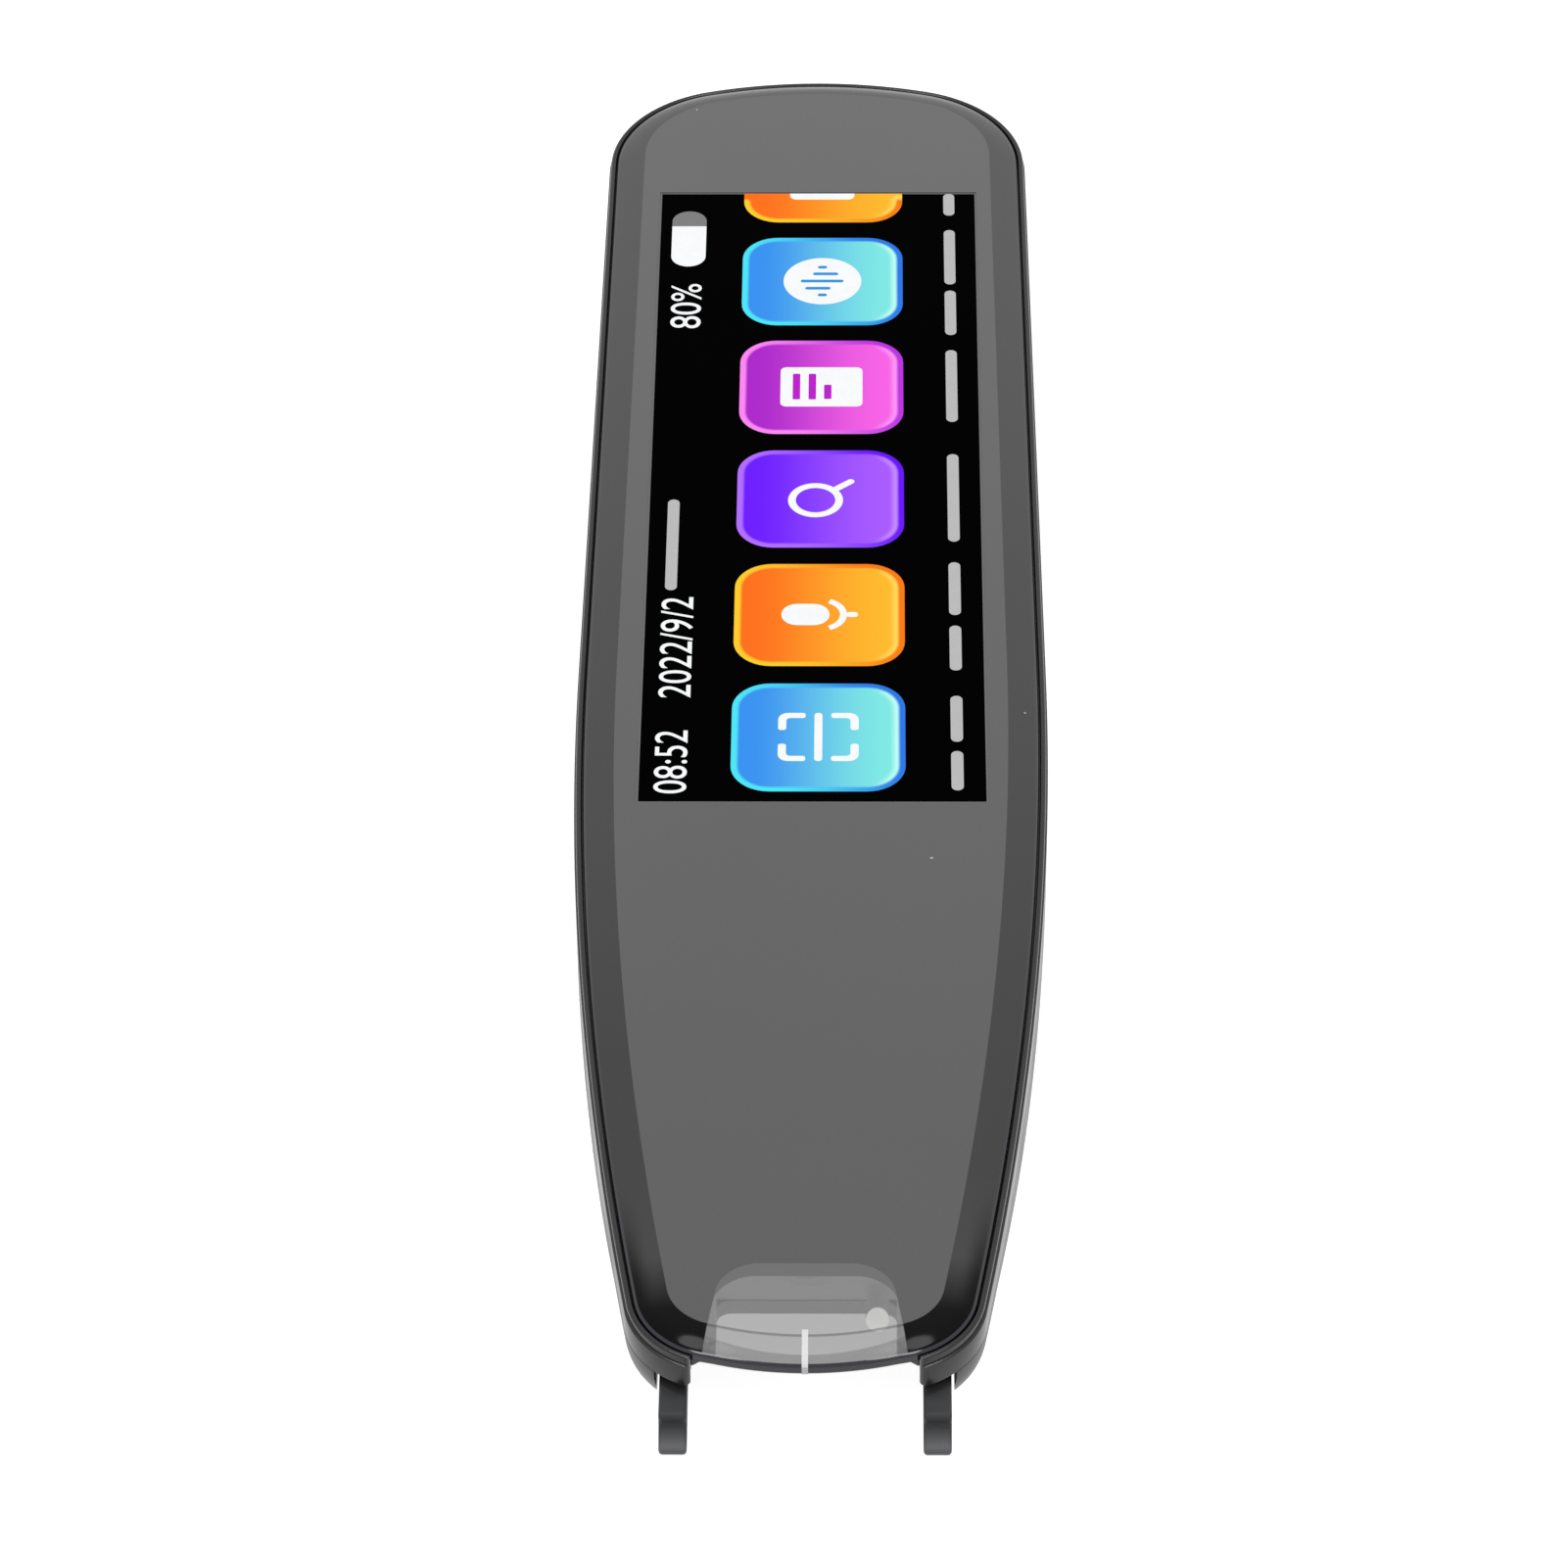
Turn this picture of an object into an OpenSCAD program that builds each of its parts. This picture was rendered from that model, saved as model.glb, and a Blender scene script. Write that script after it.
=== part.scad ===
// Handheld scanning translator: a slim body with a flat back, a bar touch screen under one
// cover lens, an open scanning nose, and two sprung feet that press a switch.
// Millimetres. +Z is the screen's side, the nose points to -Y and the tail to +Y.
// Inside the modules Y is counted from the nose, and placed() centres the whole part.

/* [Body] */
// Length of the body, nose to tail
body_l = 142.3; // [120:0.1:175]
// Width of the body at its widest place
body_w = 33.2; // [31:0.2:42]
// Thickness of the body over its flat back
body_h = 11.5; // [11.2:0.1:14]
// Thickness of the nose
nose_t = 5.7; // [5.4:0.1:6.2]
// Length of the taper under the nose
taper_l = 40; // [36:1:44]
// How quickly the taper closes in (1 is a straight ramp)
taper_power = 1.6; // [1.3:0.1:2]

/* [Outline] */
// Distance from the nose to the widest place
wide_y = 66.7; // [58:0.1:74]
// Radius of the long side curve, widest place to nose
side_r = 368; // [330:1:420]
// Angle at which each side closes in towards the tail
tail_taper = 0.38; // [0.1:0.01:0.8]
// Radius of the two tail corners
tail_corner_r = 10.3; // [8:0.1:12]
// Radius of the tail end
tail_end_r = 32.3; // [28:0.1:45]
// Radius of the two nose corners
nose_corner_r = 6.6; // [6:0.1:8]
// Radius of the nose end
nose_end_r = 28.5; // [24:0.1:36]

/* [Back cover] */
// Thickness of the side walls
wall_t = 1.4; // [1.2:0.1:1.7]
// Thickness of the floor
floor_t = 1.2; // [1:0.1:1.4]
// Width of the rounded edge between side and back
back_fillet_w = 4.2; // [3:0.1:4.6]
// Height of the rounded edge between side and back
back_fillet_h = 4.6; // [3.6:0.1:4.8]
// How much narrower the rounded edge is at the nose
nose_square = 2.5; // [0:0.1:2.6]
// Height of the tongue that locates the frame
tongue_h = 0.7; // [0.5:0.1:0.9]
// Radius of the lanyard bore in the tail corner
lanyard_r = 0.8; // [0.6:0.05:0.9]
// Radius of each speaker hole
grille_r = 0.45; // [0.3:0.05:0.6]

/* [Frame and lens] */
// Height of the frame, from the top of the lens to the seam
frame_h = 3.2; // [3:0.1:3.6]
// Width of the rim round the lens
rim_w = 0.55; // [0.5:0.05:0.7]
// Gap between rim and lens
lens_gap = 0.1; // [0.05:0.05:0.2]
// Thickness of the cover lens
lens_t = 1.4; // [1.2:0.1:1.6]
// Width of the bevel round the lens
bevel_w = 2.15; // [1.5:0.05:2.6]
// Drop of the bevel to the lens edge
bevel_drop = 0.75; // [0.5:0.05:0.9]
// Thickness of the printed mask
film_t = 0.1; // [0.05:0.05:0.2]
// Thickness of the adhesive under the mask
tape_t = 0.15; // [0.1:0.05:0.25]
// Thickness of the ledge that carries the lens
ledge_t = 0.75; // [0.6:0.05:0.9]
// Thickness of the plate under the display
plate_t = 0.6; // [0.5:0.05:0.8]

/* [Screen] */
// Width of the border beside the lit area
screen_border = 4.54; // [4.2:0.02:6]
// Distance from the nose to the lit area
screen_y0 = 54.2; // [48:0.1:60]
// Distance from the lit area to the tail
screen_tail = 16.1; // [14:0.1:20]
// Thickness of the display module
display_t = 1.6; // [1.4:0.1:2]
// Thickness of the foam under the display
foam_t = 0.2; // [0.1:0.05:0.3]

/* [Scanning nose] */
// Distance from each foot's outer face to the widest side
foot_side = 7.3; // [7.2:0.1:8]
// Thickness of each foot
foot_t = 1.8; // [1.5:0.1:2]
// How far the feet reach past the nose
foot_reach = 1.7; // [1:0.1:4]
// Gap beside the feet
foot_gap = 0.2; // [0.15:0.05:0.3]
// Depth of the open notch between the feet
notch_l = 8; // [7:0.1:9]
// Thickness of the shroud's walls
shroud_t = 1.2; // [0.9:0.1:1.4]
// Rear edge of the scan window, from the nose
window_y = 10; // [8:0.1:10.5]
// Length of the alignment mark
mark_l = 2.5; // [2:0.1:4]
// Width of the alignment mark
mark_w = 0.45; // [0.3:0.05:0.7]
// Depth of the alignment mark's groove
mark_t = 0.12; // [0.08:0.02:0.2]

/* [Trigger] */
// Distance of the pivot from the nose
pivot_y = 15.5; // [15:0.1:16]
// Radius of the pivot pins
pin_r = 0.7; // [0.6:0.05:0.8]
// Running clearance round the pivot pins
pin_gap = 0.05; // [0.03:0.01:0.08]
// Height of each arm
arm_h = 1.8; // [1.5:0.1:2]
// Radius of the two return springs
spring_r = 0.75; // [0.6:0.05:0.8]
// Radius of the spring wire
wire_r = 0.11; // [0.08:0.01:0.15]

/* [Tail] */
// Sideways place of the charging socket
usb_x = -4.2; // [-4.6:0.1:-4]
// Sideways place of the power key
key_x = 6.2; // [6:0.1:6.6]
// Length of the power key
key_l = 5.4; // [4.6:0.1:5.6]
// Height of the power key
key_h = 2; // [1.6:0.1:2.2]
// How far the power key stands out
key_proud = 0.35; // [0.3:0.05:0.5]

/* [Hidden] */

$fn = 48;
eps = 0.02;
far = 60;
seat = 0.05;

// Heights, from the flat back up
lens_z = body_h - lens_t;
film_z = lens_z - film_t;
ledge_z = film_z - tape_t;
seam_z = body_h - frame_h;
tongue_z = seam_z + tongue_h;
tongue_in = 0.75;
rabbet_gap = 0.1;
display_z = film_z - display_t;
plate_z = display_z - foam_t - plate_t;
board_t = 0.8;
board_top = plate_z - 1.4;
board_z = board_top - board_t;

// Insets from the body's outline
lens_in = rim_w + lens_gap;
ledge_in = wall_t + 1.2;
frame_wall_in = wall_t + rabbet_gap;
plate_in = 2.5;

// Centres of the outline's arcs, each tangent to the next
tail_end_c = [0, body_l - tail_end_r];
nose_end_c = [0, nose_end_r];
side_c = [body_w / 2 - side_r, wide_y];
taper_n = [cos(tail_taper), sin(tail_taper)];
taper_t = [-sin(tail_taper), cos(tail_taper)];
taper_foot = side_c + (side_r - tail_corner_r) * taper_n - tail_end_c;
taper_b = taper_foot * taper_t;
taper_c = taper_foot * taper_foot - pow(tail_end_r - tail_corner_r, 2);
tail_corner_c = tail_end_c + taper_foot + (sqrt(taper_b * taper_b - taper_c) - taper_b) * taper_t;
nose_corner_c = meet(side_c, side_r - nose_corner_r, nose_end_c, nose_end_r - nose_corner_r);
tail_a = bearing(tail_corner_c - tail_end_c);
side_a = bearing(nose_corner_c - side_c);
nose_a = bearing(nose_corner_c - nose_end_c);

// Nose
nose_lift = body_h - nose_t;
foot_x1 = body_w / 2 - foot_side;
foot_x0 = foot_x1 - foot_t;
slot_x0 = foot_x0 - foot_gap;
slot_x1 = foot_x1 + foot_gap;
slot_l = 11;
block_x = slot_x0 - 0.05;
mouth_x = slot_x0 - 1.45;
window_x = mouth_x - 0.25;
window_r = 2.2;
window_flare = 1.5;
mouth_r = 1;
tab_l = 2.2;

// Trigger
arm_top = plate_z - 0.3;
arm_z = arm_top - arm_h;
pivot_z = arm_z + 0.7;
eye_r = pin_r + 0.55;
sole_z = arm_z - 0.9;
bar_y0 = 20;
bar_y1 = 21.8;
plate_y0 = bar_y0 - 1.5;
ear_t = 1;
ear_x0 = slot_x0 - ear_t;
ear_x1 = slot_x1 + ear_t;
ear_r = pin_r + 0.6;
shroud_y1 = pivot_y - ear_r - 0.2;
mouth_l = shroud_y1 - shroud_t - seat;
spring_y = 8.5;
spring_x = (foot_x0 + foot_x1) / 2;
spring_top = seam_z + 0.7;
seat_w = 2.6;

// Camera and scan board
camera_w = 8.4;
camera_y0 = shroud_y1 + 0.15;
camera_y1 = plate_y0 - 0.1;
camera_z = belly(camera_y0) + floor_t + 0.1;
lens_axis_z = body_h - 4.1;
lens_r = 1.6;
lens_l = 1.3;
scan_y0 = camera_y1 + 0.3;
scan_y1 = 36;
scan_w = 17;
scan_t = 0.6;
scan_z = belly(scan_y0) + floor_t + 0.25;
switch_h = 0.8;
led_x = mouth_x - 1.25;
led_r = 0.75;
led_z = body_h - 6.3;
led_l = 2.6;

// Speaker, battery and screws
speaker_w = 18;
speaker_y0 = taper_l + 3.4;
speaker_y1 = speaker_y0 + 11;
speaker_t = 3.2;
gasket_t = 0.4;
screw_x = 9.5;
boss_r = 2.4;
screw_y = [speaker_y1 + boss_r + 0.4, body_l - 37.4];
frame_boss_r = 2;
boss_top = 4.2;
screw_r = 0.7;
head_r = 1.4;
head_z = 0.5;
head_h = 0.8;
sink_r = 1.75;
battery_side = 5.4;
battery_y0 = screw_y[0] + boss_r + 0.4;
battery_y1 = screw_y[1] - boss_r - 0.4;
battery_z = floor_t + 0.15;
battery_top = plate_z - 1.05;

// Main board and tail
board_y0 = screw_y[1] + boss_r + 0.4;
board_y1 = body_l - 5.2;
board_in = 3.2;
standoff_x = body_w / 2 - 5.8;
standoff_y = [board_y0 + 3.6, board_y0 + 21.1];
usb_w = 8.94;
usb_h = 3.26;
usb_wall = 0.3;
usb_y0 = body_l - 8.4;
usb_y1 = body_l - 1.3;
usb_z = board_z + board_t / 2 + 0.1;
key_z = plate_z - 0.1 - key_h / 2;
flange_y = body_l - wall_t - 2.6;
flange_t = 0.7;
mic_x = 1.8;
lanyard_depth = 2;
lanyard_z = 3.3;
lanyard_a = 60;
post_r = 1.9;

screen_w = body_w - 2 * screen_border;
screen_l = body_l - screen_tail - screen_y0;
display_w = screen_w + 2.3;
display_y0 = screen_y0 - 1.5;
display_y1 = screen_y0 + screen_l + 2.5;

// ---- Outline ----

function bearing(v) = atan2(v.y, v.x);
function unit(v) = v / norm(v);

// The lower of the two points that lie r0 from c0 and r1 from c1
function meet(c0, r0, c1, r1) =
    let (d = norm(c1 - c0), e = (c1 - c0) / d, a = (r0 * r0 - r1 * r1 + d * d) / (2 * d))
    c0 + a * e + sqrt(r0 * r0 - a * a) * [e.y, -e.x];

// Points of an arc after its first one
function arc(c, r, a0, a1, n) =
    [for (i = [1:n]) let (a = a0 + (a1 - a0) * i / n) c + r * [cos(a), sin(a)]];

// Right half of the body's outline, moved in by d, from the tail's apex to the nose's apex
function half_outline(d) = concat(
    [[0, body_l - d]],
    arc(tail_end_c, tail_end_r - d, 90, tail_a, 5),
    arc(tail_corner_c, tail_corner_r - d, tail_a, tail_taper, 8),
    [side_c + (side_r - d) * taper_n],
    arc(side_c, side_r - d, tail_taper, side_a, 20),
    arc(nose_corner_c, nose_corner_r - d, side_a, nose_a, 8),
    arc(nose_end_c, nose_end_r - d, nose_a, -90, 5)
);

function outline(d) =
    let (h = half_outline(d), n = len(h))
    concat(h, [for (i = [n - 2:-1:1]) [-h[i].x, h[i].y]]);

// Height of the underside at distance y from the nose
function belly(y) = nose_lift * pow(max(0, 1 - y / taper_l), taper_power);
function fillet_w(y) = back_fillet_w - nose_square * pow(max(0, 1 - y / taper_l), taper_power);
function fillet_h(y) = min(back_fillet_h, seam_z - belly(y) - 0.3);
function inner_fillet_h(y) = min(fillet_h(y), plate_z - belly(y) - floor_t) - floor_t / 2 + 0.3;
inner_fillet_w = back_fillet_w - floor_t / 2;

function ring(d, z) = [for (p = outline(d)) [p.x, p.y, z]];
function outer_ring(a) =
    let (edge = outline(0), in = outline(1))
    [
        for (i = [0:len(edge) - 1])
        let (p = edge[i] + (in[i] - edge[i]) * fillet_w(edge[i].y) * (1 - cos(a)))
        [p.x, p.y, belly(p.y) + fillet_h(p.y) * (1 - sin(a))]
    ];
function inner_ring(a) = [
    for (p = outline(wall_t + inner_fillet_w * (1 - cos(a))))
    [p.x, p.y, belly(p.y) + floor_t + inner_fillet_h(p.y) * (1 - sin(a))]
];

// Corners of a polygon rounded to the radii given for them
function rounded(pts, radii, n = 4) = [
    for (i = [0:len(pts) - 1])
    let (
        p = pts[i],
        u = unit(pts[(i + len(pts) - 1) % len(pts)] - p),
        v = unit(pts[(i + 1) % len(pts)] - p),
        h = acos(u * v) / 2,
        r = radii[i],
        c = p + unit(u + v) * r / sin(h),
        a0 = bearing(p + u * r / tan(h) - c),
        a1 = bearing(p + v * r / tan(h) - c),
        turn = (a1 - a0 + 540) % 360 - 180
    )
    each r == 0 ? [p] : [for (k = [0:n]) c + r * [cos(a0 + turn * k / n), sin(a0 + turn * k / n)]]
];

// ---- Shapes ----

module placed() {
    translate([0, (foot_reach - body_l) / 2, 0]) children();
}

function strip(i, n) =
    i == 0 ? [0, 1, n - 1] : i == n / 2 - 1 ? [i, i + 1, n - i] : [i, i + 1, n - i - 1, n - i];
function backwards(f) = [for (i = [len(f) - 1:-1:0]) f[i]];

// Skin over rings of equal length. Open ends are closed by strips from side to side
module loft(rings, closed = false) {
    n = len(rings[0]);
    m = len(rings);
    sides = [
        for (k = [0:closed ? m - 1 : m - 2], i = [0:n - 1])
        let (a = k * n, b = (k + 1) % m * n, j = (i + 1) % n)
        each [[a + i, a + j, b + j], [a + i, b + j, b + i]]
    ];
    bottom = [for (i = [0:n / 2 - 1]) backwards(strip(i, n))];
    top = [for (i = [0:n / 2 - 1]) [for (v = strip(i, n)) v + (m - 1) * n]];
    polyhedron([for (r = rings) each r], closed ? sides : concat(sides, bottom, top));
}

module slab(d, z, h) {
    translate([0, 0, z]) linear_extrude(h) polygon(outline(d));
}

module box(x0, x1, y0, y1, z0, z1) {
    translate([x0, y0, z0]) cube([x1 - x0, y1 - y0, z1 - z0]);
}

// A box on each side of the middle
module boxes(x0, x1, y0, y1, z0, z1) {
    box(x0, x1, y0, y1, z0, z1);
    box(-x1, -x0, y0, y1, z0, z1);
}

module both_sides() {
    children();
    mirror([1, 0, 0]) children();
}

// A profile drawn in Y and Z, given a width along X
module along_x(x0, x1, pts) {
    translate([x0, 0, 0]) rotate([90, 0, 90]) linear_extrude(x1 - x0) polygon(pts);
}

module rod_x(r, x0, x1) {
    translate([x0, 0, 0]) rotate([0, 90, 0]) cylinder(r = r, h = x1 - x0);
}

module rod_y(r, y0, y1) {
    translate([0, y0, 0]) rotate([-90, 0, 0]) cylinder(r = r, h = y1 - y0);
}

// A bar along Y whose section has round ends, w wide and h high
module stadium(w, h, y0, y1) {
    translate([(h - w) / 2, 0, 0]) rod_y(h / 2, y0, y1);
    translate([(w - h) / 2, 0, 0]) rod_y(h / 2, y0, y1);
    box((h - w) / 2, (w - h) / 2, y0, y1, -h / 2, h / 2);
}

module at_screws(y) {
    for (s = y) both_sides() translate([screw_x, s, 0]) children();
}

module at_standoffs() {
    for (s = standoff_y) both_sides() translate([standoff_x, s, 0]) children();
}

// ---- Shells ----

module outer_solid() {
    loft(concat([for (a = [90:-18:0]) outer_ring(a)], [ring(0, seam_z)]));
}

module bowl() {
    loft(concat(
        [for (a = [90:-18:0]) outer_ring(a)],
        [ring(0, seam_z), ring(tongue_in, seam_z), ring(tongue_in, tongue_z), ring(wall_t, tongue_z)],
        [for (a = [0:22.5:90]) inner_ring(a)]
    ));
}

// Places the lanyard bore's axis along Y, a little inside the tail corner
module at_lanyard() {
    translate([-tail_corner_c.x, tail_corner_c.y, lanyard_z])
        rotate([0, 0, lanyard_a - 90])
            translate([lanyard_depth - tail_corner_r, 0, 0])
                children();
}

module pivot_ears() {
    z0 = belly(pivot_y) + 0.85;
    for (x = [[ear_x0, slot_x0], [slot_x1, ear_x1]]) {
        boxes(x[0], x[1], pivot_y - ear_r, pivot_y + ear_r, z0, pivot_z);
        both_sides() translate([0, pivot_y, pivot_z]) rod_x(ear_r, x[0], x[1]);
    }
}

module back_cover() color("#1b1c1e") placed() difference() {
    union() {
        bowl();
        at_screws(screw_y) translate([0, 0, floor_t / 2]) cylinder(r = boss_r, h = boss_top - floor_t / 2);
        at_standoffs() translate([0, 0, floor_t - 0.3]) cylinder(r = 1.6, h = board_z - floor_t + 0.3);
        for (y = [scan_y0 + 2.2, scan_y1 - 5])
            both_sides() translate([scan_w / 2 - 2, y, belly(y) + 0.5])
                cylinder(r = 1.2, h = scan_z - belly(y) - 0.5);
        box(-3, 3, camera_y0 + 0.5, camera_y1 - 0.5, belly(camera_y0) + 0.25, camera_z);
        pivot_ears();
        intersection() {
            outer_solid();
            at_lanyard() rod_y(post_r, -5, 5);
        }
    }
    // Open nose, the two slots for the feet, and the mouth under the window
    box(-slot_x1, slot_x1, -far, notch_l, -eps, body_h);
    boxes(slot_x0, slot_x1, 0, slot_l, -eps, body_h);
    translate([0, 0, -eps]) linear_extrude(body_h) polygon(rounded(
        [[-mouth_x, 0], [-mouth_x, mouth_l], [mouth_x, mouth_l], [mouth_x, 0]], [0, mouth_r, mouth_r, 0]));
    both_sides() translate([0, pivot_y, pivot_z]) rod_x(pin_r, ear_x0 - 1, ear_x1);
    at_screws(screw_y) {
        translate([0, 0, -eps]) cylinder(r = sink_r, h = head_z + head_h + eps);
        cylinder(r = screw_r + 0.15, h = far);
    }
    at_standoffs() translate([0, 0, board_z - 2]) cylinder(r = 0.5, h = far);
    for (x = [-6:3:6], y = [speaker_y0 + 2:2.3:speaker_y1 - 2])
        translate([x, y, -eps]) cylinder(r = grille_r, h = floor_t + 1);
    translate([usb_x, 0, usb_z]) stadium(usb_w + 0.3, usb_h + 0.3, usb_y0, body_l + 1);
    translate([key_x, 0, key_z]) stadium(key_l + 0.2, key_h + 0.2, flange_y, body_l + 1);
    translate([mic_x, 0, key_z]) rod_y(0.4, flange_y, body_l + 1);
    at_lanyard() rod_y(lanyard_r, -far / 2, far / 2);
}

module mid_frame() color("#18191b") placed() {
    rim_top = body_h - bevel_drop;
    profile = [
        [0, seam_z], [0, rim_top - 0.75], [0.06, rim_top - 0.66], [0.14, rim_top - 0.62],
        [0.14, rim_top - 0.2], [0.22, rim_top - 0.06], [rim_w / 2 + 0.07, rim_top],
        [rim_w - 0.08, rim_top - 0.06], [rim_w, rim_top - 0.2], [rim_w, ledge_z],
        [ledge_in, ledge_z], [ledge_in, plate_z], [frame_wall_in, plate_z],
        [frame_wall_in, ledge_z - ledge_t], [tongue_in - 0.07, ledge_z - ledge_t],
        [tongue_in - 0.07, seam_z]
    ];
    difference() {
        union() {
            difference() {
                loft([for (p = profile) ring(p[0], p[1])], closed = true);
                // Room for the arms, the open nose and the front of the window
                boxes(slot_x0 - 0.1, slot_x1 + 0.1, -far, pivot_y + eye_r + 0.8, 0, seam_z + seat);
                box(-block_x, block_x, -far, tab_l, 0, far);
                box(-block_x, block_x, -far, notch_l, 0, ledge_z - ledge_t);
                box(-mouth_x, mouth_x, -far, notch_l, 0, far);
            }
            intersection() {
                slab(plate_in, plate_z, plate_t);
                box(-far, far, plate_y0, body_l, 0, far);
            }
            boxes(block_x, foot_x1 + 0.7, spring_y - seat_w / 2, spring_y + seat_w / 2, seam_z + seat, ledge_z);
            at_screws(screw_y) translate([0, 0, boss_top])
                cylinder(r = frame_boss_r, h = plate_z + 0.1 - boss_top);
        }
        both_sides() translate([spring_x, spring_y, 0]) cylinder(r = spring_r + 0.25, h = spring_top);
        at_screws(screw_y) cylinder(r = screw_r, h = plate_z - 0.3);
        box(-5.6, 5.6, display_y1 + 0.5, display_y1 + 2.7, 0, far);
    }
}

function bevel_z(t) = body_h - bevel_drop * (0.45 * (1 - t) + 0.55 * pow(1 - t, 2));

module whole_lens() {
    bevel = [for (t = [0, 0.2, 0.45, 0.7, 1]) ring(lens_in + bevel_w * t, bevel_z(t))];
    loft(concat([ring(lens_in, lens_z)], bevel));
}

// The part of the lens that the mark's groove takes up
module mark_inlay() difference() {
    intersection() {
        whole_lens();
        box(-mark_w / 2, mark_w / 2, 0, lens_in + mark_l, 0, far);
    }
    translate([0, mark_t, -mark_t]) whole_lens();
}

module cover_lens() color("#3a3b3d", 0.6) placed() difference() {
    whole_lens();
    mark_inlay();
}

module mask_film() color("#606163") placed() difference() {
    slab(lens_in + 0.15, film_z, film_t);
    box(-screen_w / 2 - 0.3, screen_w / 2 + 0.3, screen_y0 - 0.3, screen_y0 + screen_l + 0.3, 0, far);
    linear_extrude(far) polygon(rounded(
        [
            [-window_x - window_flare, -1], [-window_x, window_y],
            [window_x, window_y], [window_x + window_flare, -1]
        ],
        [0, window_r, window_r, 0]));
}

module alignment_mark() color("white") placed() mark_inlay();

module lens_adhesive() color("#101010") placed() difference() {
    slab(lens_in + 0.15, ledge_z, tape_t);
    slab(ledge_in - 0.1, 0, far);
    box(-block_x, block_x, -far, notch_l, 0, far);
}

// ---- Display ----

module display_module() color("#050505") placed()
    box(-display_w / 2, display_w / 2, display_y0, display_y1, display_z, film_z);

module display_foam() color("#303030") placed()
    boxes(display_w / 2 - 3, display_w / 2, display_y0 + 2, display_y1 - 2, display_z - foam_t, display_z);

module display_flex() color("#b5651d") placed() {
    y = display_y1;
    t = 0.15;
    along_x(-5, 5, [
        [y, display_z + 0.5], [y + 1.6, display_z + 0.5], [y + 1.6, board_top + 0.5], [y - 3, board_top + 0.5],
        [y - 3, board_top + 0.5 - t], [y + 1.6 + t, board_top + 0.5 - t],
        [y + 1.6 + t, display_z + 0.5 + t], [y, display_z + 0.5 + t]
    ]);
    box(-5.5, 5.5, y - 5, y - 3, board_top, board_top + 0.9);
}

// ---- Main board ----

module main_board() color("#0d4a2b") placed() difference() {
    intersection() {
        slab(board_in, board_z, board_t);
        box(-far, far, board_y0, board_y1, 0, far);
    }
    box(usb_x - usb_w / 2 - 0.3, usb_x + usb_w / 2 + 0.3, usb_y0 - 0.2, body_l, 0, far);
    at_standoffs() cylinder(r = 0.6, h = far);
}

module processor_chip() color("#111111") placed()
    box(-6, 6, board_y0 + 8, board_y0 + 20, board_z - 1, board_z);

module memory_chip() color("#141414") placed()
    box(-4, 4, board_y0 + 20.8, board_y0 + 24, board_z - 0.9, board_z);

module shield_can() color("silver") placed() difference() {
    box(-7, 7, board_y0 + 7, board_y0 + 25, board_z - 1.6, board_z);
    box(-6.8, 6.8, board_y0 + 7.2, board_y0 + 24.8, board_z - 1.4, far);
}

module board_screws() color("silver") placed() at_standoffs() {
    translate([0, 0, board_top]) cylinder(r = 1.1, h = 0.6);
    translate([0, 0, board_z - 1.8]) cylinder(r = 0.5, h = board_t + 1.8);
}

module antenna() color("#c8862b") placed()
    box(-12.5, -8, board_y0 + 4, board_y0 + 18, plate_z - 0.15, plate_z);

module microphone() color("#c0c0c0") placed()
    box(mic_x - 1, mic_x + 1, board_y1 - 3.3, board_y1 - 0.5, board_top, board_top + 0.95);

module usb_socket() color("#b8bcc0") placed() translate([usb_x, 0, usb_z]) {
    difference() {
        stadium(usb_w, usb_h, usb_y0, usb_y1);
        stadium(usb_w - 2 * usb_wall, usb_h - 2 * usb_wall, usb_y0 + 0.9, usb_y1 + 1);
    }
    box(-3.35, 3.35, usb_y0 + 0.8, usb_y1 - 1.2, -0.35, 0.35);
}

module power_key() color("#202124") placed() {
    intersection() {
        translate([key_x, 0, key_z]) stadium(key_l, key_h, flange_y, body_l + 1);
        slab(-key_proud, 0, far);
    }
    box(key_x - key_l / 2 - 1, key_x + key_l / 2 + 1, flange_y, flange_y + flange_t, key_z - 1.3, plate_z - 0.1);
}

module power_switch() color("#9a9da0") placed() difference() {
    box(key_x - 1.8, key_x + 1.8, board_y1 - 2.6, board_y1 - 0.2, board_top, board_top + 1.25);
    box(key_x - 0.8, key_x + 0.8, board_y1 - 1.6, board_y1, board_top + 0.3, board_top + 1.05);
}

module power_plunger() color("black") placed()
    box(key_x - 0.7, key_x + 0.7, board_y1 - 1, flange_y - seat, board_top + 0.38, board_top + 0.97);

// ---- Battery and speaker ----

module battery() color("#7c8288") placed()
    box(battery_side - body_w / 2, body_w / 2 - battery_side, battery_y0, battery_y1, battery_z, battery_top);

module battery_tape() color("#e8e8e8") placed()
    box(-8, 8, battery_y0 + 3, battery_y1 - 3, floor_t, battery_z);

module battery_lead() color("#a01818") placed() {
    z = board_z - 0.8;
    for (x = [-5.4, -4.2]) translate([x, 0, z]) rod_y(0.45, battery_y1, board_y0 + 1);
    box(-6.4, -3.2, board_y0 + 0.6, board_y0 + 4, board_z - 1.5, board_z);
}

module speaker() color("#2a2a2c") placed()
    translate([0, 0, floor_t + gasket_t]) box(-speaker_w / 2, speaker_w / 2, speaker_y0, speaker_y1, 0, speaker_t);

module speaker_gasket() color("#151515") placed() difference() {
    box(-speaker_w / 2, speaker_w / 2, speaker_y0, speaker_y1, floor_t, floor_t + gasket_t);
    box(-speaker_w / 2 + 1.2, speaker_w / 2 - 1.2, speaker_y0 + 1.2, speaker_y1 - 1.2, 0, far);
}

// ---- Scanning nose ----

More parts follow.
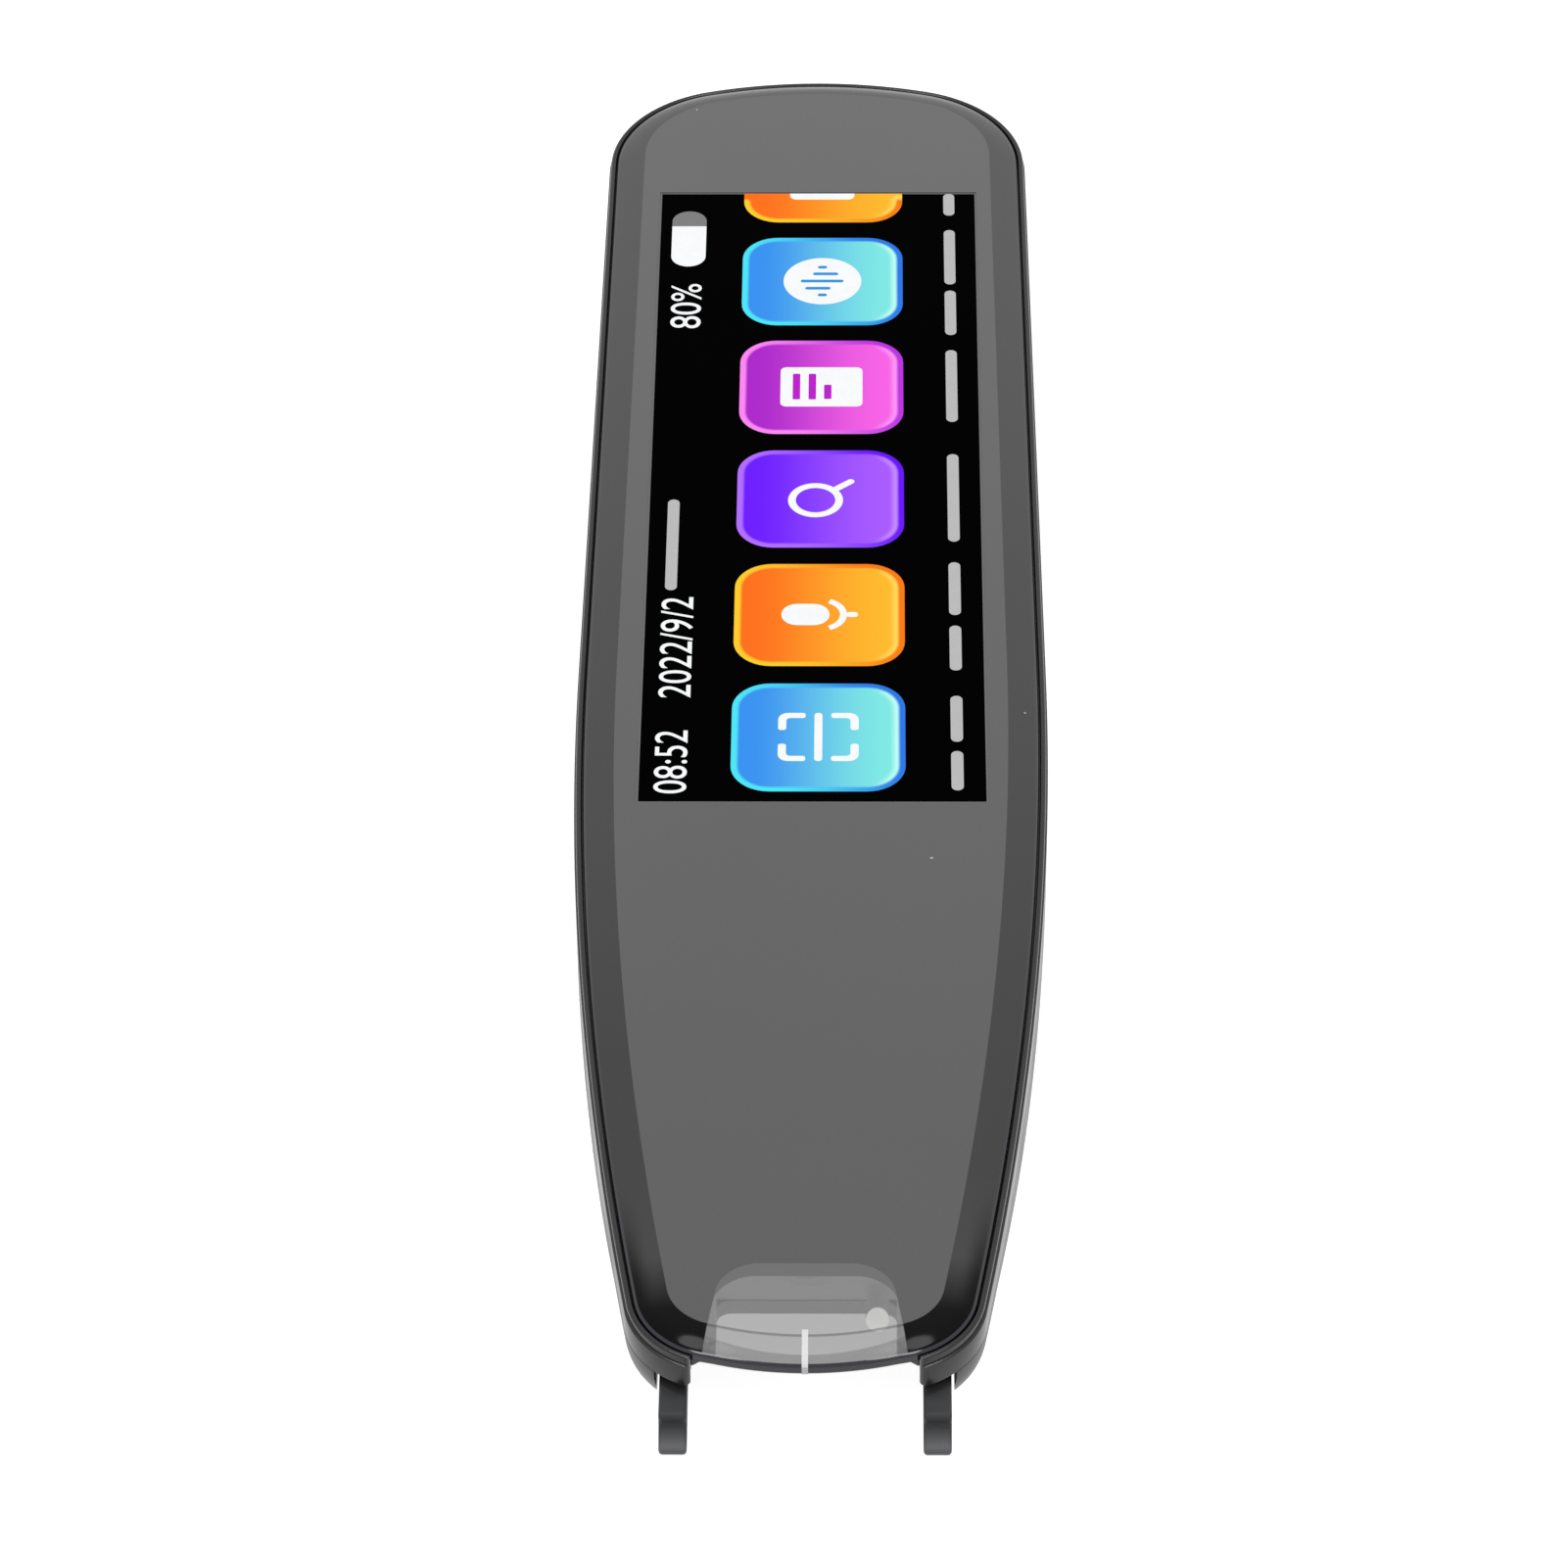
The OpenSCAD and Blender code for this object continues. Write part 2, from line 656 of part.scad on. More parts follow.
module camera_module() color("#141416") placed()
    box(-camera_w / 2, camera_w / 2, camera_y0, camera_y1, camera_z, film_z - 0.3);

module camera_lens() color("#26304a") placed()
    translate([0, camera_y0, lens_axis_z]) rotate([90, 0, 0]) rotate_extrude()
        polygon([
            [0, 0], [lens_r, 0], [lens_r, lens_l], [lens_r - 0.4, lens_l], [lens_r - 0.7, lens_l - 0.4],
            [lens_r / 3, lens_l - 0.22], [0, lens_l - 0.15]
        ]);

module scan_board() color("#0d4a2b") placed()
    box(-scan_w / 2, scan_w / 2, scan_y0, scan_y1, scan_z, scan_z + scan_t);

module scan_led() color("#f4f4ec") placed() translate([led_x, 0, led_z]) {
    rod_y(led_r, mouth_l - led_l, mouth_l + seat);
    translate([0, mouth_l - led_l, 0]) sphere(led_r);
}

module scan_shroud() color("#4a4b4d") placed() {
    y0 = notch_l + seat;
    y1 = shroud_y1;
    wall = [
        [y0, belly(y0) + floor_t + seat], [y1, belly(y1) + floor_t + seat],
        [y1, film_z - seat], [y0, film_z - seat]
    ];
    both_sides() along_x(mouth_x, mouth_x + shroud_t, wall);
    difference() {
        box(-mouth_x, mouth_x, mouth_l + seat, y1, belly(mouth_l) + floor_t + seat, film_z - seat);
        translate([0, 0, lens_axis_z]) rod_y(lens_r + 0.15, 0, far);
    }
}

module scan_flex() color("#b5651d") placed() {
    t = 0.15;
    z = battery_top + 0.1;
    route = [
        [scan_y1 - 3, scan_z + scan_t], [scan_y1 + 1, scan_z + scan_t], [speaker_y0 + 3, z],
        [battery_y1, z], [board_y0 + 1, board_top], [board_y0 + 5, board_top]
    ];
    along_x(-3, 3, concat(route, [for (i = [len(route) - 1:-1:0]) route[i] + [0, t]]));
}

// ---- Trigger ----

module trigger_yoke() color("#2b2c2f") placed() difference() {
    union() {
        both_sides() {
            along_x(foot_x0, foot_x1, rounded(
                [
                    [bar_y1, arm_top], [-0.6, arm_top], [-0.4, arm_top - 1.05],
                    [-foot_reach, sole_z + 0.6], [0.3 - foot_reach, sole_z], [-0.2, sole_z],
                    [2.6, arm_z], [bar_y1, arm_z]
                ],
                [0.3, 0.45, 0.5, 0.3, 0.25, 0.6, 1, 0.3]
            ));
            translate([0, pivot_y, pivot_z]) rod_x(eye_r, foot_x0, foot_x1);
        }
        box(-foot_x1, foot_x1, bar_y0, bar_y1, arm_z, arm_top);
    }
    both_sides() translate([0, pivot_y, pivot_z]) rod_x(pin_r + pin_gap, 1, far);
}

module trigger_pins() color("#c4c7ca") placed() both_sides()
    translate([0, pivot_y, pivot_z]) rod_x(pin_r, ear_x0, ear_x1);

// Wire of radius w along a helix of radius r, from z0 up to z1
module coil(r, w, z0, z1, turns) {
    steps = 14 * turns;
    sides = 6;
    pts = [
        for (i = [0:steps], s = [0:sides - 1])
        let (a = 360 * turns * i / steps, b = 360 * s / sides, q = r + w * cos(b))
        [q * cos(a), q * sin(a), z0 + w + (z1 - z0 - 2 * w) * i / steps + w * sin(b)]
    ];
    skin = [
        for (i = [0:steps - 1], s = [0:sides - 1])
        let (a = i * sides, b = a + sides, t = (s + 1) % sides)
        each [[a + s, a + t, b + t], [a + s, b + t, b + s]]
    ];
    ends = [[for (s = [sides - 1:-1:0]) s], [for (s = [0:sides - 1]) steps * sides + s]];
    polyhedron(pts, concat(skin, ends));
}

module trigger_springs() color("#d0d2d4") placed() both_sides()
    translate([spring_x, spring_y, 0]) coil(spring_r - wire_r, wire_r, arm_top + seat, spring_top - seat, 4);

module trigger_switch() color("#9a9da0") placed() translate([0, (bar_y0 + bar_y1) / 2, scan_z + scan_t])
    difference() {
        box(-1.8, 1.8, -1.5, 1.5, 0, switch_h);
        translate([0, 0, 0.1]) cylinder(r = 0.8, h = 2);
    }

module trigger_plunger() color("black") placed()
    translate([0, (bar_y0 + bar_y1) / 2, scan_z + scan_t + 0.45])
        cylinder(r = 0.7, h = arm_z - seat - scan_z - scan_t - 0.45);

// ---- Fasteners ----

module housing_screws() color("silver") placed() at_screws(screw_y) {
    translate([0, 0, head_z]) cylinder(r = head_r, h = head_h);
    translate([0, 0, head_z + head_h]) cylinder(r = screw_r, h = plate_z - 0.6 - head_z - head_h);
}

module screw_plugs() color("#1b1c1e") placed() at_screws(screw_y)
    translate([0, 0, seat]) cylinder(r = sink_r - 0.05, h = head_z - 2 * seat);

back_cover();
mid_frame();
cover_lens();
mask_film();
alignment_mark();
lens_adhesive();
display_module();
display_foam();
display_flex();
main_board();
processor_chip();
memory_chip();
shield_can();
board_screws();
antenna();
microphone();
usb_socket();
power_key();
power_switch();
power_plunger();
battery();
battery_tape();
battery_lead();
speaker();
speaker_gasket();
camera_module();
camera_lens();
scan_board();
scan_led();
scan_shroud();
scan_flex();
trigger_yoke();
trigger_pins();
trigger_springs();
trigger_switch();
trigger_plunger();
housing_screws();
screw_plugs();
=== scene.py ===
import math
import bpy
import numpy as np
from mathutils import Matrix


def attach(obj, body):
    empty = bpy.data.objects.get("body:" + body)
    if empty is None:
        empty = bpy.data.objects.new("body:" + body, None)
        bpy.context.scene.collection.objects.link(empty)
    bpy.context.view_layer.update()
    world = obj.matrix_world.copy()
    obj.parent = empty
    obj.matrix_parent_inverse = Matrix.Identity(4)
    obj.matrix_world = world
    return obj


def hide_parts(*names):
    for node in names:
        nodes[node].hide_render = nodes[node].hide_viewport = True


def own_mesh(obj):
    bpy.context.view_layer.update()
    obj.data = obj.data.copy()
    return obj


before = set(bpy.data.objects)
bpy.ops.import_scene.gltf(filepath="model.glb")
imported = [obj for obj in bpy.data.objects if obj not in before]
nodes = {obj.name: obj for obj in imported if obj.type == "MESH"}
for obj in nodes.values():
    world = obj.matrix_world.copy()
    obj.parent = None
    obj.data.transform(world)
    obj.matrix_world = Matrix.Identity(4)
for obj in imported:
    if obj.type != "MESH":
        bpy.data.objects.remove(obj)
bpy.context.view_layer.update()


# Shapes are worked out in millimetres, with y counted from the tip of the nose
mm = 0.001
noseRow = -70.3

outlineSizes = {
    "length": 142.3,
    "width": 33.2,
    "wideY": 66.7,
    "sideRadius": 368.0,
    "tailTaper": 0.38,
    "tailCornerRadius": 10.3,
    "tailEndRadius": 32.3,
    "noseCornerRadius": 6.6,
    "noseEndRadius": 28.5,
    "steps": {"noseEnd": 20, "noseCorner": 26, "side": 56, "straight": 14, "tailCorner": 26, "tailEnd": 14},
}


# Right half runs nose end, nose corner, side, straight taper, tail corner, tail end, and
# the left half is its mirror. Each point is centre + radius * (cos a, sin a), a its normal's turn
def bodyOutline(s):
    n = s["steps"]
    taper = math.radians(s["tailTaper"])
    tailEnd = np.array([0, s["length"] - s["tailEndRadius"]])
    noseEnd = np.array([0, s["noseEndRadius"]])
    side = np.array([s["width"] / 2 - s["sideRadius"], s["wideY"]])
    normal = np.array([math.cos(taper), math.sin(taper)])
    along = np.array([-math.sin(taper), math.cos(taper)])
    foot = side + (s["sideRadius"] - s["tailCornerRadius"]) * normal - tailEnd
    b = foot @ along
    c = foot @ foot - (s["tailEndRadius"] - s["tailCornerRadius"]) ** 2
    tailCorner = tailEnd + foot + (math.sqrt(b * b - c) - b) * along
    r0 = s["sideRadius"] - s["noseCornerRadius"]
    r1 = s["noseEndRadius"] - s["noseCornerRadius"]
    apart = noseEnd - side
    d = np.linalg.norm(apart)
    e = apart / d
    a = (r0 * r0 - r1 * r1 + d * d) / (2 * d)
    noseCorner = side + a * e + math.sqrt(r0 * r0 - a * a) * np.array([e[1], -e[0]])
    turn = lambda v: math.atan2(v[1], v[0])
    noseTurn, sideTurn, tailTurn = turn(noseCorner - noseEnd), turn(noseCorner - side), turn(tailCorner - tailEnd)
    arcs = [
        (noseEnd, s["noseEndRadius"], -math.pi / 2, noseTurn, n["noseEnd"]),
        (noseCorner, s["noseCornerRadius"], noseTurn, sideTurn, n["noseCorner"]),
        (side, s["sideRadius"], sideTurn, taper, n["side"]),
        (None, 0, taper, taper, n["straight"]),
        (tailCorner, s["tailCornerRadius"], taper, tailTurn, n["tailCorner"]),
        (tailEnd, s["tailEndRadius"], tailTurn, math.pi / 2, n["tailEnd"]),
    ]
    points, normals = [], []
    for centre, radius, a0, a1, count in arcs:
        t = np.arange(count) / count
        angle = a0 + (a1 - a0) * t
        facing = np.stack([np.cos(angle), np.sin(angle)], 1)
        if centre is None:
            start = side + s["sideRadius"] * normal
            end = tailCorner + s["tailCornerRadius"] * normal
            points.append(start + (end - start) * t[:, None])
        else:
            points.append(centre + radius * facing)
        normals.append(facing)
    points.append(np.array([[0, s["length"]]]))
    normals.append(np.array([[0, 1.0]]))
    points, normals = np.concatenate(points), np.concatenate(normals)
    points[0, 0] = 0
    both = [np.concatenate([v, v[-2:0:-1] * [-1.0, 1.0]]) for v in (points, normals)]
    return (*both, tailCorner)


edgePoints, edgeNormals, tailCornerCentre = bodyOutline(outlineSizes)
ringCount = len(edgePoints)


# One ring of the body: the outline moved in by inset, at height z, which may change along the ring
def ring(inset, z):
    flat = edgePoints - np.reshape(inset, (-1, 1)) * edgeNormals
    height = z(flat[:, 1]) if callable(z) else np.full(len(flat), float(z))
    return np.column_stack([flat, height])


# Faces of a grid of rows by columns: each cell is one quad, and the last column may meet the first
def gridFaces(rows, columns, closed=True):
    i = np.arange(columns if closed else columns - 1)
    k = np.arange(rows - 1)[:, None]
    j = (i + 1) % columns
    low, high = k * columns, (k + 1) * columns
    return np.stack([low + i, low + j, high + j, high + i], -1).reshape(-1, 4)


# Faces of a closed grid whose first and last rows are each filled by one face
def cappedFaces(rows, columns):
    total = rows * columns
    ends = [list(range(columns))[::-1], list(range(total - columns, total))]
    return gridFaces(rows, columns).tolist() + ends


# Cross strips that close a ring whose right and left halves mirror each other
def stripFaces(start, count, upward):
    i = np.arange(1, count // 2 - 1)
    quads = np.stack([i, i + 1, count - i - 1, count - i], 1) + start
    middle = start + count // 2
    ends = [[start, start + 1, start + count - 1], [middle - 1, middle, middle + 1]]
    faces = quads.tolist() + ends
    return faces if upward else [f[::-1] for f in faces]


def newObject(name, data):
    made = bpy.data.objects.new(name, data)
    bpy.context.scene.collection.objects.link(made)
    return made


def makeObject(name, points, faces, slots=(), faceSlots=None, smoothBelow=None):
    co = np.asarray(points, float).reshape(-1, 3)
    mesh = bpy.data.meshes.new(name)
    mesh.from_pydata(((co + [0, noseRow, 0]) * mm).tolist(), [], [list(map(int, f)) for f in faces])
    for m in slots:
        mesh.materials.append(m)
    if faceSlots is not None:
        mesh.polygons.foreach_set("material_index", np.asarray(faceSlots, np.int32))
    mesh.update()
    piece = newObject(name, mesh)
    if smoothBelow is not None:
        smoothEdges(piece, smoothBelow)
    return piece


def smoothEdges(piece, degrees):
    mesh = piece.data
    mesh.polygons.foreach_set("use_smooth", np.ones(len(mesh.polygons), bool))
    mesh.set_sharp_from_angle(angle=math.radians(degrees))


# Middle or normal of each face, one row each
def faceRows(mesh, kind):
    rows = np.empty(len(mesh.polygons) * 3)
    mesh.polygons.foreach_get(kind, rows)
    return rows.reshape(-1, 3)


def faceCentres(mesh):
    return faceRows(mesh, "center") / mm - [0, noseRow, 0]


# Joins rings into a closed skin. With loop the last ring meets the first, and otherwise both ends get strips
def ringSkin(rings, loop=False):
    m, n = len(rings), len(rings[0])
    faces = gridFaces(m, n).tolist()
    last = (m - 1) * n
    if loop:
        i = np.arange(n)
        j = (i + 1) % n
        faces += np.stack([last + i, last + j, j, i], 1).tolist()
    else:
        faces += stripFaces(0, n, False) + stripFaces(last, n, True)
    return np.concatenate(rings), faces


# Solid between two copies of a flat outline, first at depth a and then at depth b along the given axis.
# A radius moves the outline in along its corner normals near each end, as a quarter circle
def prism(outline, a, b, axis="z", radius=0.0, steps=4):
    flat = np.asarray(outline, float)
    before, after = flat - np.roll(flat, 1, 0), np.roll(flat, -1, 0) - flat
    area = np.sum(flat[:, 0] * np.roll(flat[:, 1], -1) - np.roll(flat[:, 0], -1) * flat[:, 1])
    if area < 0:
        return prism(flat[::-1], a, b, axis, radius, steps)
    sides = [v / np.maximum(np.linalg.norm(v, axis=1, keepdims=True), 1e-9) for v in (before, after)]
    out = sum(np.stack([v[:, 1], -v[:, 0]], 1) for v in sides)
    out /= np.maximum(np.sum(out * out, 1, keepdims=True), 1e-9) / 2
    if radius:
        t = np.linspace(0, math.pi / 2, steps + 1)
        inset, deep = radius * (1 - np.sin(t)), radius * (1 - np.cos(t))
        insets, depths = np.concatenate([inset, inset[::-1]]), np.concatenate([a + deep, b - deep[::-1]])
    else:
        insets, depths = np.zeros(2), np.array([a, b], float)
    n = len(flat)
    across, up = (flat[None] - insets[:, None, None] * out[None]).reshape(-1, 2).T
    depth = np.repeat(depths, n)
    order = {"z": (across, up, depth), "y": (up, depth, across), "x": (depth, across, up)}
    return np.column_stack(order[axis]), cappedFaces(len(insets), n)


def rectangle(x0, x1, y0, y1):
    return [[x0, y0], [x1, y0], [x1, y1], [x0, y1]]


def boxSolid(x0, x1, y0, y1, z0, z1):
    return prism(rectangle(x0, x1, y0, y1), z0, z1)


def circle(x, y, r, count=32):
    a = np.arange(count) * 2 * math.pi / count
    return np.column_stack([x + r * np.cos(a), y + r * np.sin(a)])


# A slot shape: two half circles of radius h / 2 joined by straight sides, w long overall
def stadium(x, y, w, h, count=16):
    a = np.linspace(-math.pi / 2, math.pi / 2, count)
    cap = np.column_stack([np.cos(a), np.sin(a)]) * h / 2
    shift = np.array([(w - h) / 2, 0])
    return np.concatenate([cap + shift, -cap - shift]) + [x, y]


# Polygon whose corners are arcs of the radii given for them
def roundedPolygon(corners, radii, steps=6):
    p = np.asarray(corners, float)
    parts = []
    for i, r in enumerate(radii):
        u, v = p[i - 1] - p[i], p[(i + 1) % len(p)] - p[i]
        u, v = u / np.linalg.norm(u), v / np.linalg.norm(v)
        if r == 0:
            parts.append(p[i][None])
            continue
        half = math.acos(np.clip(u @ v, -1, 1)) / 2
        middle = u + v
        c = p[i] + middle / np.linalg.norm(middle) * r / math.sin(half)
        start, end = p[i] + u * r / math.tan(half) - c, p[i] + v * r / math.tan(half) - c
        a0 = math.atan2(start[1], start[0])
        swing = (math.atan2(end[1], end[0]) - a0 + 3 * math.pi) % (2 * math.pi) - math.pi
        a = a0 + swing * np.linspace(0, 1, steps + 1)
        parts.append(c + r * np.column_stack([np.cos(a), np.sin(a)]))
    return np.concatenate(parts)

def roundedRectangle(x0, x1, y0, y1, r, steps=8):
    return roundedPolygon(rectangle(x0, x1, y0, y1), [r] * 4, steps)


# Upright rods in rows: x, the row's places along the pen, radius, bottom, top and number of sides
def rods(rows):
    return [prism(circle(x, y, r, count), z0, z1) for x, places, r, z0, z1, count in rows for y in places]


def together(solids):
    points, faces, start = [], [], 0
    for p, f in solids:
        points.append(p)
        faces += [[start + i for i in face] for face in f]
        start += len(p)
    return np.concatenate(points), faces


def mirrored(solid):
    points, faces = solid
    return points * [-1, 1, 1], [f[::-1] for f in faces]


def bothSides(solids):
    return list(solids) + [mirrored(s) for s in solids]


# Cuts or adds the tool in one exact boolean, which leaves a plain mesh
def useTool(piece, tool, operation):
    step = piece.modifiers.new("combine", "BOOLEAN")
    step.operation = operation
    step.solver = "EXACT"
    step.object = tool
    finishModifiers(piece)
    bpy.data.objects.remove(tool)


def combine(piece, solids, operation):
    useTool(piece, makeObject("tool", *together(solids)), operation)


def cut(piece, *solids):
    combine(piece, solids, "DIFFERENCE")


def cutBothSides(piece, *solids):
    cut(piece, *bothSides(solids))


def finishModifiers(piece):
    deps = bpy.context.evaluated_depsgraph_get()
    mesh = bpy.data.meshes.new_from_object(piece.evaluated_get(deps))
    piece.modifiers.clear()
    old = piece.data
    piece.data = mesh
    bpy.data.meshes.remove(old)


def setPiece(piece, body, slot, *replaced):
    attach(piece, body)
    if replaced:
        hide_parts(*replaced)
    return piece


print("stage: shaders")


# Gives a socket a plain value, or joins another node's output to it
def feed(socket, value):
    if isinstance(value, bpy.types.NodeSocket):
        socket.id_data.links.new(value, socket)
    else:
        socket.default_value = value


def feedAll(sockets, values):
    for key, value in values.items():
        feed(sockets[key], value)


# The node tree that the first joined value is part of
def treeOf(*values):
    return next(v.id_data for v in values if isinstance(v, bpy.types.NodeSocket))


# Colours and tuples make colour sockets, and everything else is a number
def newGroup(name, inputs, outputs):
    group = bpy.data.node_groups.new(name, "ShaderNodeTree")
    kinds = {True: "NodeSocketColor", False: "NodeSocketFloat"}
    for socket, value in inputs.items():
        kind = kinds[isinstance(value, tuple)]
        group.interface.new_socket(name=socket, in_out="INPUT", socket_type=kind).default_value = value
    for socket in outputs:
        group.interface.new_socket(name=socket, in_out="OUTPUT", socket_type=kinds[socket == "Colour"])
    return group, group.nodes.new("NodeGroupInput").outputs, group.nodes.new("NodeGroupOutput").inputs


def addNode(tree, kind, **settings):
    made = tree.nodes.new(kind)
    for key, value in settings.items():
        setattr(made, key, value)
    return made


def mathNode(operation, a, b=0.5, clamp=False):
    made = addNode(treeOf(a, b), "ShaderNodeMath", operation=operation, use_clamp=clamp)
    feedAll(made.inputs, {0: a, 1: b})
    return made.outputs[0]


def sumOf(operation):
    return lambda a, b, clamp=False: mathNode(operation, a, b, clamp)


plus, minus, times, divided = map(sumOf, ("ADD", "SUBTRACT", "MULTIPLY", "DIVIDE"))
above, below, larger, smaller = map(sumOf, ("GREATER_THAN", "LESS_THAN", "MAXIMUM", "MINIMUM"))


def mixColour(factor, a, b):
    made = addNode(treeOf(factor), "ShaderNodeMix", data_type="RGBA")
    feedAll(made.inputs, {0: factor, 6: a, 7: b})
    return made.outputs[2]


def remap(value, low, high, toLow=0.0, toHigh=1.0, smooth=True):
    made = addNode(treeOf(value), "ShaderNodeMapRange", interpolation_type="SMOOTHSTEP" if smooth else "LINEAR")
    feedAll(made.inputs, {0: value, 1: low, 2: high, 3: toLow, 4: toHigh})
    return made.outputs[0]


# Runs evenly from atZero to atOne as the mask goes from 0 to 1
def between(mask, atZero, atOne):
    return remap(mask, 0.0, 1.0, atZero, atOne, smooth=False)


def objectCoords(tree):
    return addNode(tree, "ShaderNodeTexCoord").outputs["Object"]


def splitVector(vector):
    split = addNode(treeOf(vector), "ShaderNodeSeparateXYZ")
    feed(split.inputs[0], vector)
    return split.outputs


# Object coordinates in millimetres, with y counted from the tip of the nose
def millimetres(tree):
    x, y, z = [times(v, 1 / mm) for v in splitVector(objectCoords(tree))]
    return x, minus(y, noseRow), z


def noise(coords, scale, detail, rough=0.5):
    made = addNode(treeOf(coords), "ShaderNodeTexNoise")
    feedAll(made.inputs, {"Vector": coords, "Scale": scale, "Detail": detail, "Roughness": rough})
    return made.outputs[0]


# Moulded plastic: fine sparks of the tool's texture, slow cloudiness, and a change of shine between them
def mouldedGroup():
    group, given, out = newGroup(
        "moulded", {"Colour": (0.02, 0.02, 0.02, 1), "Spark": 9000.0, "Cloud": 120.0, "Vary": 0.2,
                    "Rough": 0.4, "Rough Vary": 0.1}, ("Colour", "Roughness", "Height"))
    coords = objectCoords(group)
    fine = noise(coords, given["Spark"], 2.0, 0.6)
    slow = noise(coords, given["Cloud"], 3.0, 0.55)
    both = plus(times(fine, 0.5), times(slow, 0.5))
    swing = times(minus(both, 0.5), given["Vary"])
    scaled = addNode(group, "ShaderNodeVectorMath", operation="SCALE")
    feed(scaled.inputs[0], given["Colour"])
    feed(scaled.inputs[3], plus(times(swing, 4.0), 1.0))
    feed(out[0], scaled.outputs[0])
    spread = times(minus(slow, 0.5), given["Rough Vary"])
    feed(out[1], plus(times(spread, 2.0), given["Rough"], clamp=True))
    feed(out[2], fine)
    return group


# Dust: the middles of a few cells of a cell pattern, picked by the cell's own chance colour
def dustGroup():
    group, given, out = newGroup("dust", {"Scale": 700.0, "Size": 0.06, "Share": 0.6}, ("Mask",))
    cells = addNode(group, "ShaderNodeTexVoronoi", feature="F1")
    feed(cells.inputs["Vector"], objectCoords(group))
    feed(cells.inputs["Scale"], given["Scale"])
    near = below(cells.outputs["Distance"], given["Size"])
    chance = addNode(group, "ShaderNodeSeparateColor")
    feed(chance.inputs[0], cells.outputs["Color"])
    some = above(chance.outputs[0], given["Share"])
    feed(out[0], times(near, some))
    return group


# Worn edges: where the shaded normal, rounded over a small radius, leaves the true normal
def wornGroup():
    group, given, out = newGroup("worn", {"Radius": 0.0003, "Amount": 1.0}, ("Mask",))
    soft = addNode(group, "ShaderNodeBevel", samples=4)
    feed(soft.inputs["Radius"], given["Radius"])
    same = addNode(group, "ShaderNodeVectorMath", operation="DOT_PRODUCT")
    feed(same.inputs[0], soft.outputs[0])
    feed(same.inputs[1], addNode(group, "ShaderNodeNewGeometry").outputs["Normal"])
    edge = remap(same.outputs["Value"], 0.995, 0.86)
    feed(out[0], times(edge, given["Amount"], clamp=True))
    return group


# Window shape: 1 inside a rounded trapezoid that widens towards the nose. The sides lie at
# halfWidth + flare * (rear - y), and the rear corners are arcs of the radius
def windowGroup():
    group, given, out = newGroup(
        "scanWindow", {"Rear": 9.0, "Half Width": 5.4, "Flare": 0.15, "Radius": 2.0, "Soft": 0.05}, ("Mask",))
    x, y, _ = millimetres(group)
    back = minus(given["Rear"], y)
    side = plus(given["Half Width"], times(given["Flare"], back))
    qx = plus(minus(mathNode("ABSOLUTE", x), side), given["Radius"])
    qy = minus(given["Radius"], back)
    px, py = larger(qx, 0.0), larger(qy, 0.0)
    far = mathNode("SQRT", plus(times(px, px), times(py, py)))
    inner = smaller(larger(qx, qy), 0.0)
    gap = minus(plus(far, inner), given["Radius"])
    edge = divided(gap, given["Soft"])
    feed(out[0], minus(0.5, edge, clamp=True))
    return group


# Tile colours: a slide from left to right, a brighter band by the border, and a border of its own slide
def tileGroup():
    group, given, out = newGroup(
        "tile", {"Left": (0.1, 0.3, 0.9, 1), "Right": (0.3, 0.8, 0.8, 1), "Rim Left": (0.2, 0.8, 0.9, 1),
                 "Rim Right": (0.1, 0.3, 0.8, 1), "Glint": (0.6, 0.95, 0.9, 1)}, ("Colour",))
    u, v, _ = splitVector(addNode(group, "ShaderNodeUVMap", uv_map="tileMap").outputs[0])
    rim = addNode(group, "ShaderNodeAttribute", attribute_name="rim").outputs["Fac"]
    face = mixColour(remap(u, 0.08, 0.95), given["Left"], given["Right"])
    slide = remap(plus(u, times(v, 0.25)), 0.2, 1.1)
    border = mixColour(slide, given["Rim Left"], given["Rim Right"])
    shine = times(remap(u, 0.8, 0.93), remap(rim, 0.05, 0.4))
    face = mixColour(shine, face, given["Glint"])
    feed(out[0], mixColour(remap(rim, 0.5, 0.95), face, border))
    return group


moulded, dust, worn, scanWindow, tileColours = mouldedGroup(), dustGroup(), wornGroup(), windowGroup(), tileGroup()


# Socket names are written with _ for each space
def spaced(values):
    return {key.replace("_", " "): value for key, value in values.items()}


def newMaterial(name, **values):
    material = bpy.data.materials.new(name)
    material.use_nodes = True
    tree = material.node_tree
    shader = next(n for n in tree.nodes if n.type == "BSDF_PRINCIPLED").inputs
    feedAll(shader, spaced(values))
    return material, tree, shader


def useGroup(tree, group, **values):
    made = addNode(tree, "ShaderNodeGroup", node_tree=group)
    feedAll(made.inputs, spaced(values))
    return made.outputs


def colour(*c):
    return (c[0], c[0], c[0], 1) if len(c) == 1 else (*c, 1)


wornGrey, dustGrey = colour(0.05), colour(0.26, 0.26, 0.25)


